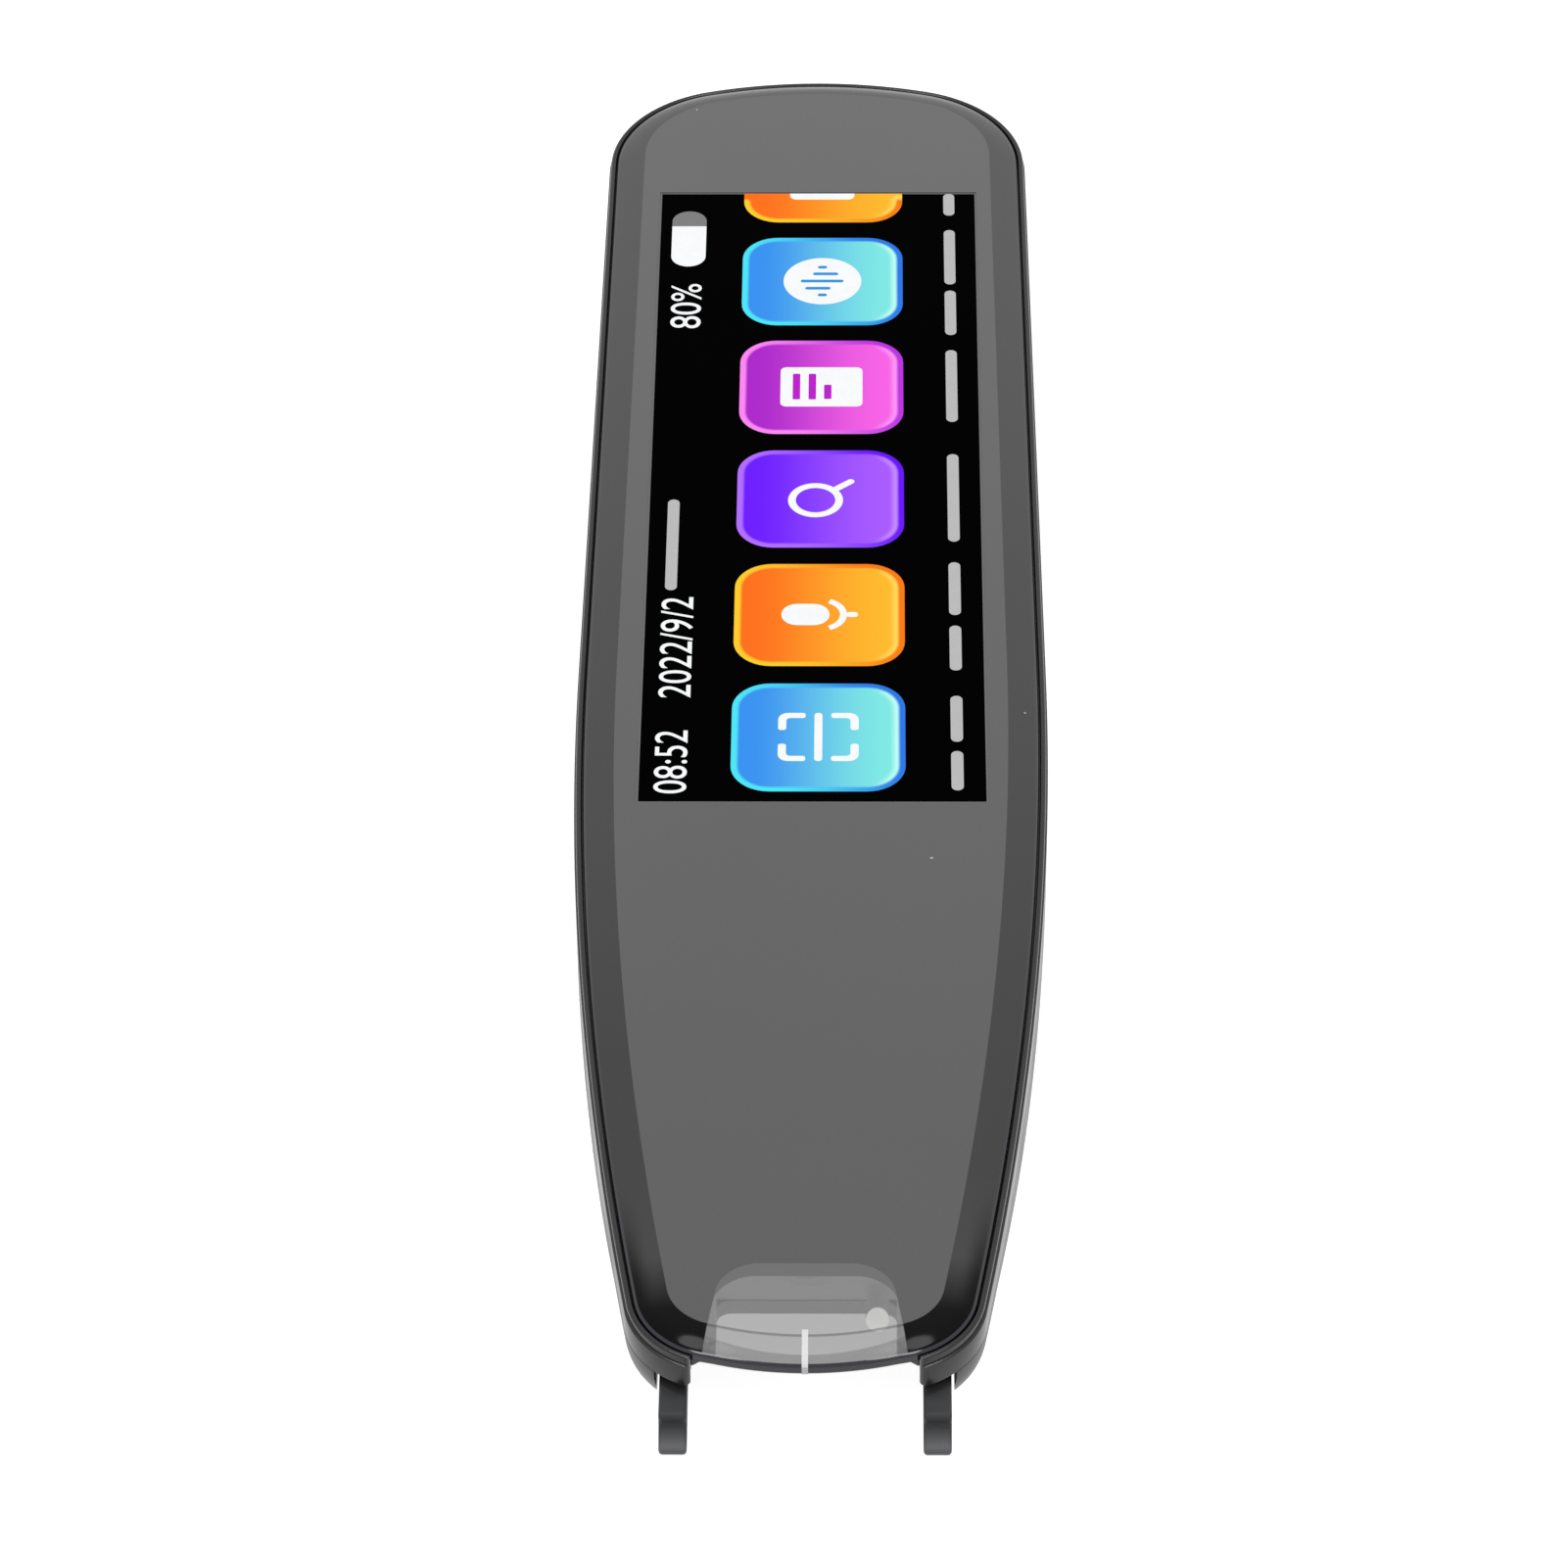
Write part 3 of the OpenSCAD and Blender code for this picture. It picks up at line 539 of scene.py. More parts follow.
# Plastic, rubber, film and metal all come from here: a tint with grain, dust and paler worn edges
def plainMaterial(name, tint, rough, grain=0.00001, spark=9000.0, cloud=150.0, vary=0.25,
                  wear=0.0, wearTint=wornGrey, dusty=0.0, **values):
    material, tree, shader = newMaterial(name, **values)
    made = useGroup(tree, moulded, Colour=tint, Spark=spark, Cloud=cloud, Vary=vary, Rough=rough, Rough_Vary=0.12)
    shown = made[0]
    if wear:
        shown = mixColour(useGroup(tree, worn, Radius=0.00015, Amount=wear)[0], shown, wearTint)
    if dusty:
        shown = mixColour(useGroup(tree, dust, Scale=500.0, Size=0.07, Share=1 - dusty)[0], shown, dustGrey)
    feedAll(shader, {"Base Color": shown, "Roughness": made[1]})
    if grain:
        bump = addNode(tree, "ShaderNodeBump")
        feedAll(bump.inputs, {"Strength": 0.5, "Distance": grain, "Height": made[2]})
        feed(shader["Normal"], bump.outputs[0])
    return material


print("stage: camera, world and floor")

cameraView = {
    "place": (3.785, -295.492, 312.713),   # millimetres, y from the nose
    "down": 0.70844,                       # radians below level
    "side": 0.01602,                       # radians to the left of the long axis
    "roll": -0.00966,
    "lens": 153.525,
}


# Stands a camera or a lamp at its place, with its own x, y and z along the three directions
def stand(thing, x, y, z, place):
    matrix = np.eye(4)
    matrix[:3] = np.column_stack([x, y, z, place])
    thing.matrix_world = Matrix(matrix.tolist())


def placeCamera(v):
    b, e, r = v["side"], v["down"], v["roll"]
    level, right = np.array([-math.sin(b), math.cos(b), 0]), np.array([math.cos(b), math.sin(b), 0])
    upright = np.array([0, 0, 1.0])
    look = math.cos(e) * level - math.sin(e) * upright
    up = math.sin(e) * level + math.cos(e) * upright
    x = math.cos(r) * right + math.sin(r) * up
    y = -math.sin(r) * right + math.cos(r) * up
    data = bpy.data.cameras.new("mainView")
    data.lens, data.sensor_width, data.clip_start, data.clip_end = v["lens"], 36.0, 0.01, 20.0
    camera = newObject("mainView", data)
    stand(camera, x, y, -look, (np.array(v["place"]) + [0, noseRow, 0]) * mm)
    bpy.context.scene.camera = camera


placeCamera(cameraView)
bpy.context.scene.view_settings.view_transform = "Standard"

studio = {
    "worldLight": 0.42,
    "lamps": [
        # name, place in metres, size, watts
        ("overLeft", (-0.29, -0.04, 0.905), 0.27, 1.9),
        ("overRight", (0.29, -0.04, 0.905), 0.27, 1.9),
        ("frontLeft", (-0.31, -0.4, 0.83), 0.24, 1.15),
        ("frontRight", (0.31, -0.4, 0.83), 0.24, 1.15),
    ],
    "floorColour": 0.5, "floorGlow": 0.88,
    "floorY": (-3.0, 2.0), "floorHalf": 3.0, "floorDrop": 0.00005,   # metres
}


# 1 for what the camera, a reflection or a clear piece sees, and 0 for the light on other things
def seenItself(tree):
    rays = addNode(tree, "ShaderNodeLightPath").outputs
    some = plus(rays["Is Camera Ray"], rays["Is Glossy Ray"])
    return plus(some, rays["Is Transmission Ray"], clamp=True)


# Each lamp is a disc turned towards the object
def makeStudio(s):
    world = bpy.data.worlds.new("studio")
    bpy.context.scene.world = world
    world.use_nodes = True
    tree = world.node_tree
    background = next(n for n in tree.nodes if n.type == "BACKGROUND").inputs
    background["Color"].default_value = colour(1)
    feed(background["Strength"], between(seenItself(tree), s["worldLight"], 1.0))
    for name, place, size, power in s["lamps"]:
        data = bpy.data.lights.new(name, "AREA")
        data.shape, data.size, data.energy = "DISK", size, power
        back = np.array(place) / np.linalg.norm(place)
        side = np.cross([0, 0, 1.0], back)
        side /= np.linalg.norm(side)
        stand(newObject(name, data), side, np.cross(back, side), back, place)


makeStudio(studio)


# A flat sheet whose far side curls up as a quarter circle: y and z follow the arc's angle
def makeFloor(s):
    near, far = s["floorY"]
    along = np.linspace(near, far, 12)
    turn = np.linspace(0, math.pi / 2, 16)[1:]
    x = np.linspace(-s["floorHalf"], s["floorHalf"], 9)
    y = np.concatenate([along, far + np.sin(turn)])
    z = np.concatenate([0 * along, 1 - np.cos(turn)]) - s["floorDrop"]
    points = np.stack(np.broadcast_arrays(x, y[:, None], z[:, None]), -1)
    mesh = bpy.data.meshes.new("floor")
    mesh.from_pydata(points.reshape(-1, 3).tolist(), [], gridFaces(len(y), len(x), False).tolist())
    floor = newObject("floor", mesh)
    material, tree, shader = newMaterial("paleFloor", Roughness=0.9, Specular_IOR_Level=0.0, Emission_Color=colour(1))
    slow = noise(objectCoords(tree), 3.0, 2.0)
    feed(shader["Base Color"], mixColour(slow, colour(s["floorColour"]), colour(s["floorColour"] + 0.01)))
    feed(shader["Emission Strength"], times(seenItself(tree), s["floorGlow"]))
    mesh.materials.append(material)
    smoothEdges(floor, 60)


makeFloor(studio)

print("stage: materials of the outside")

lensSizes = {
    "inset": 0.65, "bottom": 10.1, "top": 11.49,
    "bevelWidth": 2.15, "bevelDrop": 0.75, "bevelSteps": 12, "bevelBend": 0.55,
    "edgeRound": 0.12, "rimTilt": 43, "rimWidth": 0.36, "lipOut": 0.2, "lipHalf": 6.0,
    "footRound": 0.1, "screen": (-12.08, 12.32, 54.05, 126.2), "screenSink": 0.05, "smoothBelow": 8.4,
}


# Tones run from the nose to the tail: distance in millimetres, then the tone there. Over a dark print they are
# painted reflection of the room: lighter towards the tail, and darker on the bevel than on the flat, most of all near
# the nose
lensLook = {
    "flatPrintAndReflection": [(0, 0.078), (20, 0.080), (60, 0.090), (142, 0.112)],
    "bevelPrintAndReflection": [(0, 0.003), (5.2, 0.004), (9.6, 0.062), (18.5, 0.057), (28.5, 0.058), (60, 0.072), (142, 0.11)],
    "windowTint": 0.2, "windowAlpha": 0.7,
    "top": {"Rear": 8.95, "Half_Width": 5.35, "Flare": 0.155, "Radius": 2.4},
    "bottom": {"Rear": 9.2, "Half_Width": 5.6, "Flare": 0.15, "Radius": 2.4},
    "creaseShadeTint": 0.11, "creaseAlpha": 0.84, "creaseDrop": 0.03,
    "cornerPaintedShade": 0.002, "cornerFrom": 17.0, "cornerTo": 6.0,
    "grain": {"Spark": 5200.0, "Cloud": 45.0, "Vary": 0.05},
    "dust": {"Scale": 330.0, "Size": 0.035, "Share": 0.72}, "dustTint": 0.4, "cornerFall": (0.15, 0.8),
    "backTint": 0.09, "bandY": 2.15, "bandSoft": 0.06, "bandCurve": 0.042, "bandShadeTint": 0.25, "bandAlpha": 0.5,
}


# A ramp whose stops are the tones, at their distance as a share of the last one's
def toneRamp(y, tones):
    ramp = addNode(treeOf(y), "ShaderNodeValToRGB")
    stops = ramp.color_ramp.elements
    last = tones[-1][0]
    for k, (place, tone) in enumerate(tones):
        stop = stops[k] if k < 2 else stops.new(1.0)
        stop.position, stop.color = place / last, colour(tone)
    feed(ramp.inputs[0], divided(y, float(last)))
    return ramp.outputs[0]


# Print under the lens: grey that falls off along the pen, painted reflection over a dark print, then fine grain,
# dust, and the window's tint and alpha.
# The bevel adds painted shade: a fine dark line across the window at the flat's edge, and darker nose corners
def lensMaterial(name, look, tones, rough, bevelled, **values):
    material, tree, shader = newMaterial(name, **values)
    _, y, z = millimetres(tree)
    made = useGroup(tree, moulded, Colour=toneRamp(y, tones), Rough=rough, Rough_Vary=0.03, **look["grain"])
    specks = useGroup(tree, dust, **look["dust"])[0]
    shown = mixColour(specks, made[0], colour(look["dustTint"]))
    window = useGroup(tree, scanWindow, **look["top"])[0]
    tint, alpha = colour(look["windowTint"]), look["windowAlpha"]
    if bevelled:
        fallen = divided(minus(lensSizes["top"], z), lensSizes["bevelDrop"])
        # Painted shade: the bevel's outer part near the nose corners goes near black
        corner = remap(y, look["cornerFrom"], look["cornerTo"])
        outer = times(remap(fallen, *look["cornerFall"]), corner)
        shown = mixColour(outer, shown, colour(look["cornerPaintedShade"]))
        # Painted shade: a darker, less clear line where the bevel leaves the flat
        line = remap(fallen, look["creaseDrop"] * 2, look["creaseDrop"])
        tint = mixColour(line, tint, colour(look["creaseShadeTint"]))
        alpha = between(line, alpha, look["creaseAlpha"])
    feedAll(shader, {"Base Color": mixColour(window, shown, tint), "Roughness": made[1],
                     "Alpha": between(window, 1.0, alpha)})
    return material


# Back of the lens: black print, clear in the window, with a grey band in front of y = bandY + bandCurve * x * x that
# paints the shade of the lens's front edge seen through the glass
def lensBackMaterial(name, look, **values):
    material, tree, shader = newMaterial(name, **values)
    x, y, _ = millimetres(tree)
    level = minus(y, times(times(x, x), look["bandCurve"]))
    # Painted shade: the band by the lip is half covered in grey
    band = remap(level, look["bandY"] + look["bandSoft"], look["bandY"] - look["bandSoft"])
    window = useGroup(tree, scanWindow, **look["bottom"])[0]
    made = useGroup(tree, moulded, Colour=colour(look["backTint"]), Rough=0.5, **look["grain"])
    shown, clear = mixColour(window, made[0], colour(look["bandShadeTint"])), between(band, 0.0, look["bandAlpha"])
    feedAll(shader, {"Base Color": shown, "Roughness": made[1], "Alpha": between(window, 1.0, clear)})
    return material


screenBlack = plainMaterial(
    "screenBlack", colour(0.0004, 0.0004, 0.0005), 0.25, grain=0, vary=0.2, Specular_IOR_Level=0.003)
screenLine = plainMaterial("screenLine", colour(0.11, 0.11, 0.112), 0.4, grain=0, vary=0.1)
# Grey with a faint painted glow, though the mouth's wall is no lamp
mouthGreyPaintedGlow = plainMaterial(
    "mouthGreyPaintedGlow", colour(0.5, 0.5, 0.51), 0.6, vary=0.1, Emission_Color=colour(1), Emission_Strength=0.05)
shellBlack = plainMaterial("shellBlack", colour(0.014, 0.014, 0.015), 0.38, wear=0.5, dusty=0.02)
frameBlack = plainMaterial(
    "frameBlack", colour(0.012, 0.012, 0.013), 0.26, grain=0.000005, wear=0.35, dusty=0.05, Specular_IOR_Level=0.4)


# Foot: black plastic painted paler from the bend down to the tip, a painted highlight for the light that the lower
# part of the foot catches
def footMaterial(name, tint, pale, start, end):
    material = plainMaterial(
        name, tint, 0.5, vary=0.12, wear=0.3, wearTint=colour(0.1), dusty=0.02, Specular_IOR_Level=0.12)
    tree = material.node_tree
    made = next(n for n in tree.nodes if n.type == "GROUP" and n.node_tree == moulded)
    # Painted highlight: paler towards the tip
    paintedTipLight = remap(millimetres(tree)[1], start, end)
    feed(made.inputs["Colour"], mixColour(paintedTipLight, tint, pale))
    return material


print("stage: cover lens")

lensFlat = lensMaterial("lensFlat", lensLook, lensLook["flatPrintAndReflection"], 0.07, False)
lensBevel = lensMaterial("lensBevel", lensLook, lensLook["bevelPrintAndReflection"], 0.1, True, Specular_IOR_Level=0.08)
lensBack = lensBackMaterial("lensBack", lensLook, Specular_IOR_Level=0.0)
lensEdge = plainMaterial("lensEdge", colour(0.012, 0.013, 0.02), 0.1, grain=0, vary=0.3, Specular_IOR_Level=0.5)


# Bevel: height falls from the flat by drop * ((1 - bend) * s + bend * s * s), s from 0 at the flat to 1 at the edge.
# Its rim rolls over in two arcs: out by r * (sin b - sin a) and down by r * (cos a - cos b) from tilt a to tilt b
def makeLens(s):
    even, curved = 1 - s["bevelBend"], s["bevelBend"]
    height = lambda down: s["top"] - s["bevelDrop"] * (even * down + curved * down ** 2)
    t = np.linspace(0, 1, s["bevelSteps"] + 1)
    insets, heights = s["inset"] + s["bevelWidth"] * t, height(1 - t)
    inner = s["inset"] + s["rimWidth"]
    down = 1 - s["rimWidth"] / s["bevelWidth"]
    level = height(down)
    start = math.atan((even + 2 * curved * down) * s["bevelDrop"] / s["bevelWidth"])
    bend = math.radians(s["rimTilt"])
    tilts = [np.linspace(start, bend, 5), np.linspace(bend, math.pi / 2, 9)]
    wide = (s["rimWidth"] - s["edgeRound"] * (1 - math.sin(bend))) / (math.sin(bend) - math.sin(start))
    out, fall = [0.0], [0.0]
    for tilt, r in zip(tilts, (wide, s["edgeRound"])):
        out += (out[-1] + r * (np.sin(tilt[1:]) - math.sin(tilt[0]))).tolist()
        fall += (fall[-1] + r * (math.cos(tilt[0]) - np.cos(tilt[1:]))).tolist()
    low = 0.3 * s["footRound"]
    foot = [(s["inset"] + s["footRound"], s["bottom"]), (s["inset"] + low, s["bottom"] + low),
            (s["inset"], s["bottom"] + s["footRound"])]
    shoulder = [(inner - o, level - f) for o, f in zip(out[::-1], fall[::-1])]
    profile = foot + shoulder + [(i, z) for i, z in zip(insets, heights) if i > inner + 0.03]
    lip = np.clip(1 - (edgePoints[:, 0] / s["lipHalf"]) ** 2, 0, 1) * (edgePoints[:, 1] < s["lipHalf"])
    points, faces = ringSkin([ring(i - s["lipOut"] * lip, z) for i, z in profile])
    # Faces come row by row from the foot up, then the strips of the back and of the flat
    flat, bevel, edge, back, screen = range(5)
    sides = (len(profile) - 1) * ringCount
    slots = np.full(len(faces), bevel)
    slots[: (len(foot) + len(shoulder) - 3) * ringCount] = edge
    slots[sides:] = flat
    slots[sides: sides + ringCount // 2] = back
    lens = makeObject("coverLens", points, faces, [lensFlat, lensBevel, lensEdge, lensBack, screenBlack], slots)
    x0, x1, y0, y1 = s["screen"]
    cut(lens, boxSolid(x0, x1, y0, y1, s["top"] - s["screenSink"], s["top"] + 1))
    centres = faceCentres(lens.data)
    index = np.empty(len(centres), np.int32)
    lens.data.polygons.foreach_get("material_index", index)
    near = 0.01
    sunk = np.all((centres > [x0 - near, y0 - near, s["bottom"] + 0.5])
                  & (centres < [x1 + near, y1 + near, s["top"] - near]), axis=1)
    index[sunk] = screen
    lens.data.polygons.foreach_set("material_index", index)
    smoothEdges(lens, s["smoothBelow"])
    setPiece(lens, "housing", "lens_glass", "cover_lens", "mask_film")
    return profile


lensProfile = makeLens(lensSizes)

markLook = {"halfWidth": 0.2, "reach": 3.02, "proud": 0.009, "deep": 0.08}
whitePrint = plainMaterial("whitePrint", colour(0.7), 0.35, grain=0, vary=0.06)


# The mark is a ribbon: the lens's own section at the middle, moved out by proud and in by deep
def makeMark(look, s):
    path = [(i - s["lipOut"], z) for i, z in lensProfile[3:]] + [(look["reach"], s["top"])]   # above the foot's round
    path = np.array([(path[0][0], s["bottom"])] + path)
    step = np.gradient(path, axis=0)
    normal = np.column_stack([-step[:, 1], step[:, 0]])
    normal /= np.linalg.norm(normal, axis=1, keepdims=True)
    outline = np.concatenate([path + normal * look["proud"], (path - normal * look["deep"])[::-1]])
    outline[:, 1] = np.maximum(outline[:, 1], s["bottom"])
    ribbon = prism(outline, -look["halfWidth"], look["halfWidth"], "x")
    setPiece(makeObject("alignmentMark", *ribbon, [whitePrint], None, 30), "housing", "white_ink", "alignment_mark")


makeMark(markLook, lensSizes)

print("stage: screen")

# Places on the screen are in millimetres: x across the pen, y from the nose. gap and ink are the height
# that a printed shape starts above what it lies on, and its thickness
screenLayout = {
    "base": 11.452, "lift": 0.012, "gap": 0.002, "ink": 0.008, "lineGap": 0.001, "lineInk": 0.005,
    "tileX": (-5.58, 6.58), "tileRadius": 2.7, "rimWidth": 0.55,
    "tiles": {
        "tileScan": (55.28, 66.93), "tileVoice": (68.88, 80.39), "tileSearch": (82.31, 93.74),
        "tilePage": (95.74, 107.17), "tileRecord": (109.13, 120.28), "tileMore": (122.32, 133.9),
    },
    "end": 126.2, "endGap": 0.12, "border": 0.16, "borderInk": 0.003, "borderGap": 0.005,
}

# Left and right of the face, left and right of the border, and the glint by the right side
tilePaints = {
    "blue": ((0.045, 0.29, 0.88), (0.22, 0.82, 0.78), (0.08, 0.78, 0.93), (0.03, 0.19, 0.8), (0.5, 0.98, 0.88)),
    "orange": ((1.0, 0.17, 0.015), (1.0, 0.5, 0.03), (1.0, 0.6, 0.03), (0.95, 0.2, 0.01), (1.0, 0.68, 0.1)),
    "purple": ((0.16, 0.015, 1.0), (0.4, 0.11, 1.0), (0.45, 0.16, 1.0), (0.15, 0.01, 0.95), (0.55, 0.25, 1.0)),
    "magenta": ((0.42, 0.025, 0.6), (0.95, 0.13, 0.8), (1.0, 0.25, 0.9), (0.5, 0.04, 0.75), (1.0, 0.3, 0.9)),
}


# Lit surfaces take all their colour from the group's first output
def glowMaterial(name, group, **look):
    material, tree, shader = newMaterial(
        name, Roughness=0.4, Specular_IOR_Level=0.0, Base_Color=(0, 0, 0, 1), Emission_Strength=1.0)
    feed(shader["Emission Color"], useGroup(tree, group, **look)[0])
    return material


def plainGlow(name, *tint):
    return glowMaterial(name, moulded, Colour=colour(*tint), Vary=0.04, **glowGrain)


glowGrain = {"Spark": 3000.0, "Cloud": 900.0}
paintKeys = ("Left", "Right", "Rim_Left", "Rim_Right", "Glint")
tileSkins = {name: glowMaterial(name + "Glow", tileColours, **{k: colour(*c) for k, c in zip(paintKeys, paint)})
             for name, paint in tilePaints.items()}
iconWhite, greyGlow = plainGlow("iconWhite", 0.94, 0.96, 0.97), plainGlow("greyGlow", 0.22)
captionGlow = plainGlow("captionGlow", 0.5)


# Tile: rings of a rounded rectangle at growing insets, from the base up. rim is 1 on the border and 0 inside it
def makeTile(name, y0, y1, skin, s):
    x0, x1 = s["tileX"]
    base, top = s["base"], s["base"] + s["lift"]
    insets = np.array([0, 0, 0.5, 0.8, 1.3, 2.2]) * s["rimWidth"]
    rims = [1, 1, 1, 0.75, 0.3, 0]
    layers = [roundedRectangle(x0 + i, x1 - i, y0 + i, y1 - i, s["tileRadius"] - i, 10) for i in insets]
    n = len(layers[0])
    flat = np.concatenate(layers)
    points = np.column_stack([flat, np.repeat([base] + [top] * (len(insets) - 1), n)])
    tile = makeObject(name, points, cappedFaces(len(layers), n), [skin])
    mesh = tile.data
    rim = mesh.attributes.new("rim", "FLOAT", "POINT")
    rim.data.foreach_set("value", np.repeat(rims, n).astype(np.float32))
    uv = mesh.uv_layers.new(name="tileMap")
    corner = np.empty(len(mesh.loops), np.int32)
    mesh.loops.foreach_get("vertex_index", corner)
    spread = (flat - [x0, y0]) / [x1 - x0, y1 - y0]
    uv.data.foreach_set("uv", spread[corner].astype(np.float32).ravel())
    if y1 > s["end"]:
        cut(tile, boxSolid(-20, 20, s["end"] - s["endGap"], 160, 0, 20))
    setPiece(tile, "housing", "display_glass")


tileOrder = ("blue", "orange", "purple", "magenta", "blue", "orange")
for (name, (y0, y1)), paint in zip(screenLayout["tiles"].items(), tileOrder):
    makeTile(name, y0, y1, tileSkins[paint], screenLayout)


# A lit piece on the screen: the solids of each group wear the skin at the group's place
def litPiece(name, groups, skins):
    slots = [k for k, solids in enumerate(groups) for _, faces in solids for _ in faces]
    setPiece(makeObject(name, *together(sum(groups, [])), skins, slots), "housing", "display_glass")


# Flat shapes made thin solids, from gap above the level
def printed(shapes, level, gap, ink):
    return [prism(p, level + gap, level + gap + ink) for p in shapes]


# Band of even width along an arc: inner and outer radius at each turn
def arcBand(x, y, r, width, a0, a1, steps=24):
    a = np.radians(np.linspace(a0, a1, steps))
    way = np.column_stack([np.cos(a), np.sin(a)])
    return np.concatenate([way * (r + width / 2), (way * (r - width / 2))[::-1]]) + [x, y]


def bar(x0, x1, y0, y1, r):
    return roundedRectangle(x0, x1, y0, y1, min(r, (x1 - x0) / 2.01, (y1 - y0) / 2.01), 5)


# Bar with round ends between two points
def rodAt(x0, y0, x1, y1, width):
    along = np.array([x1 - x0, y1 - y0])
    length = np.linalg.norm(along)
    u = along / length
    shape = bar(-width / 2, length + width / 2, -width / 2, width / 2, width / 2)
    return shape @ np.array([u, [-u[1], u[0]]]) + [x0, y0]


# Icons, in millimetres from the middle of their tile
def iconShapes():
    corner = roundedPolygon(
        [[-2.82, -2.6], [-0.9, -2.6], [-0.9, -2.05], [-2.25, -2.05], [-2.25, -0.75], [-2.82, -0.75]],
        [0.7, 0.2, 0.2, 0.3, 0.2, 0.2], 5)
    corners = [corner * [fx, fy] for fx, fy in ((1, 1), (-1, 1), (1, -1), (-1, -1))]
    glass = [arcBand(-0.36, -0.2, 1.72, 0.56, a0, a0 + 182, 40) for a0 in (-46, 134)]
    return {
        "tileScan": corners + [bar(-0.28, 0.28, -2.6, 2.6, 0.25)],
        "tileVoice": [bar(-2.72, 0.72, -1.2, 1.2, 1.15), arcBand(0.1, 0, 1.62, 0.5, -68, 68),
                      bar(1.9, 2.75, -0.28, 0.28, 0.25)],
        "tileSearch": glass + [rodAt(0.98, 1.0, 2.2, 2.0, 0.55)],
        "tilePage": [bar(-3.05, 3.05, -2.4, 2.4, 0.45)],
        "tileRecord": [circle(0, 0, 2.95, 64)],
    }


# Lines on two of the icons: the place of each across itself, then where it starts and ends
iconLines = {
    "tilePage": [(-1.86, -1.55, 1.6), (-0.68, -1.55, 1.6), (0.47, -1.5, 0.25)],
    "tileRecord": [(1.77, -0.35, 0.35), (0.92, -0.72, 1.2), (0, -1.65, 1.6), (-0.92, -1.3, 0.62),
                   (-1.77, -0.35, 0.35)],
}


def makeIcons(s):
    middle = {k: (sum(s["tileX"]) / 2, sum(v) / 2) for k, v in s["tiles"].items()}
    shapes = [p + middle[k] for k, group in iconShapes().items() for p in group]
    cx = middle["tileMore"][0]
    cutOff = rectangle(cx - 2.55, cx + 2.4, 125.3, s["end"] - s["endGap"])
    shapes.append(roundedPolygon(cutOff, [0.5, 0.5, 0, 0], 5))
    level = s["base"] + s["lift"]
    litPiece("tileIcons", [printed(shapes, level, s["gap"], s["ink"])], [iconWhite])
    page = [bar(x - 0.28, x + 0.28, y0, y1, 0.1) + middle["tilePage"] for x, y0, y1 in iconLines["tilePage"]]
    wave = [bar(x0, x1, y - 0.17, y + 0.17, 0.16) + middle["tileRecord"] for y, x0, x1 in iconLines["tileRecord"]]
    iconTop = level + s["gap"] + s["ink"]
    groups = [printed(lines, iconTop, s["lineGap"], s["lineInk"]) for lines in (page, wave)]
    litPiece("iconLines", groups, [plainGlow("lineMagenta", 0.5, 0.02, 0.6), plainGlow("lineBlue", 0.03, 0.3, 0.75)])


makeIcons(screenLayout)

# Numbers are words, right edge, start and end; the pill is x0, x1, y0, y1 and where its charge ends
statusLayout = {
    "clock": ("08:52", -8.6, 55.06, 61.8), "date": ("2022/9/2", -8.5, 65.4, 76.6),
    "charge": ("80%", -8.64, 108.76, 114.35),
    "capHeight": 2.3, "barRound": 0.6, "pill": (-11.05, -8.43, 116.61, 123.74, 121.8), "pillGap": 0.01,
    "captions": [(55.4, 59.6), (60.6, 65.6), (68.4, 73.4), (74.6, 80.6), (83.0, 93.3), (97.2, 106.0), (107.9, 113.5),
                 (114.3, 121.3), (123.2, 126.05)],
    "captionX": (9.75, 10.6), "dayBar": (77.4, 87.9), "dayX": (-10.6, -9.75),
}


# Plain numbers that read along the pen: text made a mesh, scaled to its height and length, and turned
def makeNumbers(name, words, right, y0, y1, s):
    curve = bpy.data.curves.new(name, "FONT")
    curve.body, curve.resolution_u = words, 6
    source = newObject(name + "Text", curve)
    flat = bpy.data.meshes.new_from_object(source.evaluated_get(bpy.context.evaluated_depsgraph_get()))
    bpy.data.objects.remove(source)
    co = np.empty(len(flat.vertices) * 3)
    flat.vertices.foreach_get("co", co)
    co = co.reshape(-1, 3)[:, :2]
    share = (co - co.min(0)) / (co.max(0) - co.min(0))
    level = screenLayout["base"] + screenLayout["gap"] + screenLayout["ink"]
    across, along = right - share[:, 1] * s["capHeight"], share[:, 0] * (y1 - y0) + y0
    points = np.column_stack([across, along, np.full(len(co), level)])
    faces = [list(p.vertices) for p in flat.polygons]
    bpy.data.meshes.remove(flat)
    piece = makeObject(name, points, faces, [iconWhite])
    thick = piece.modifiers.new("thick", "SOLIDIFY")
    thick.thickness, thick.offset = screenLayout["ink"] * mm, -1
    finishModifiers(piece)
    setPiece(piece, "housing", "display_glass")


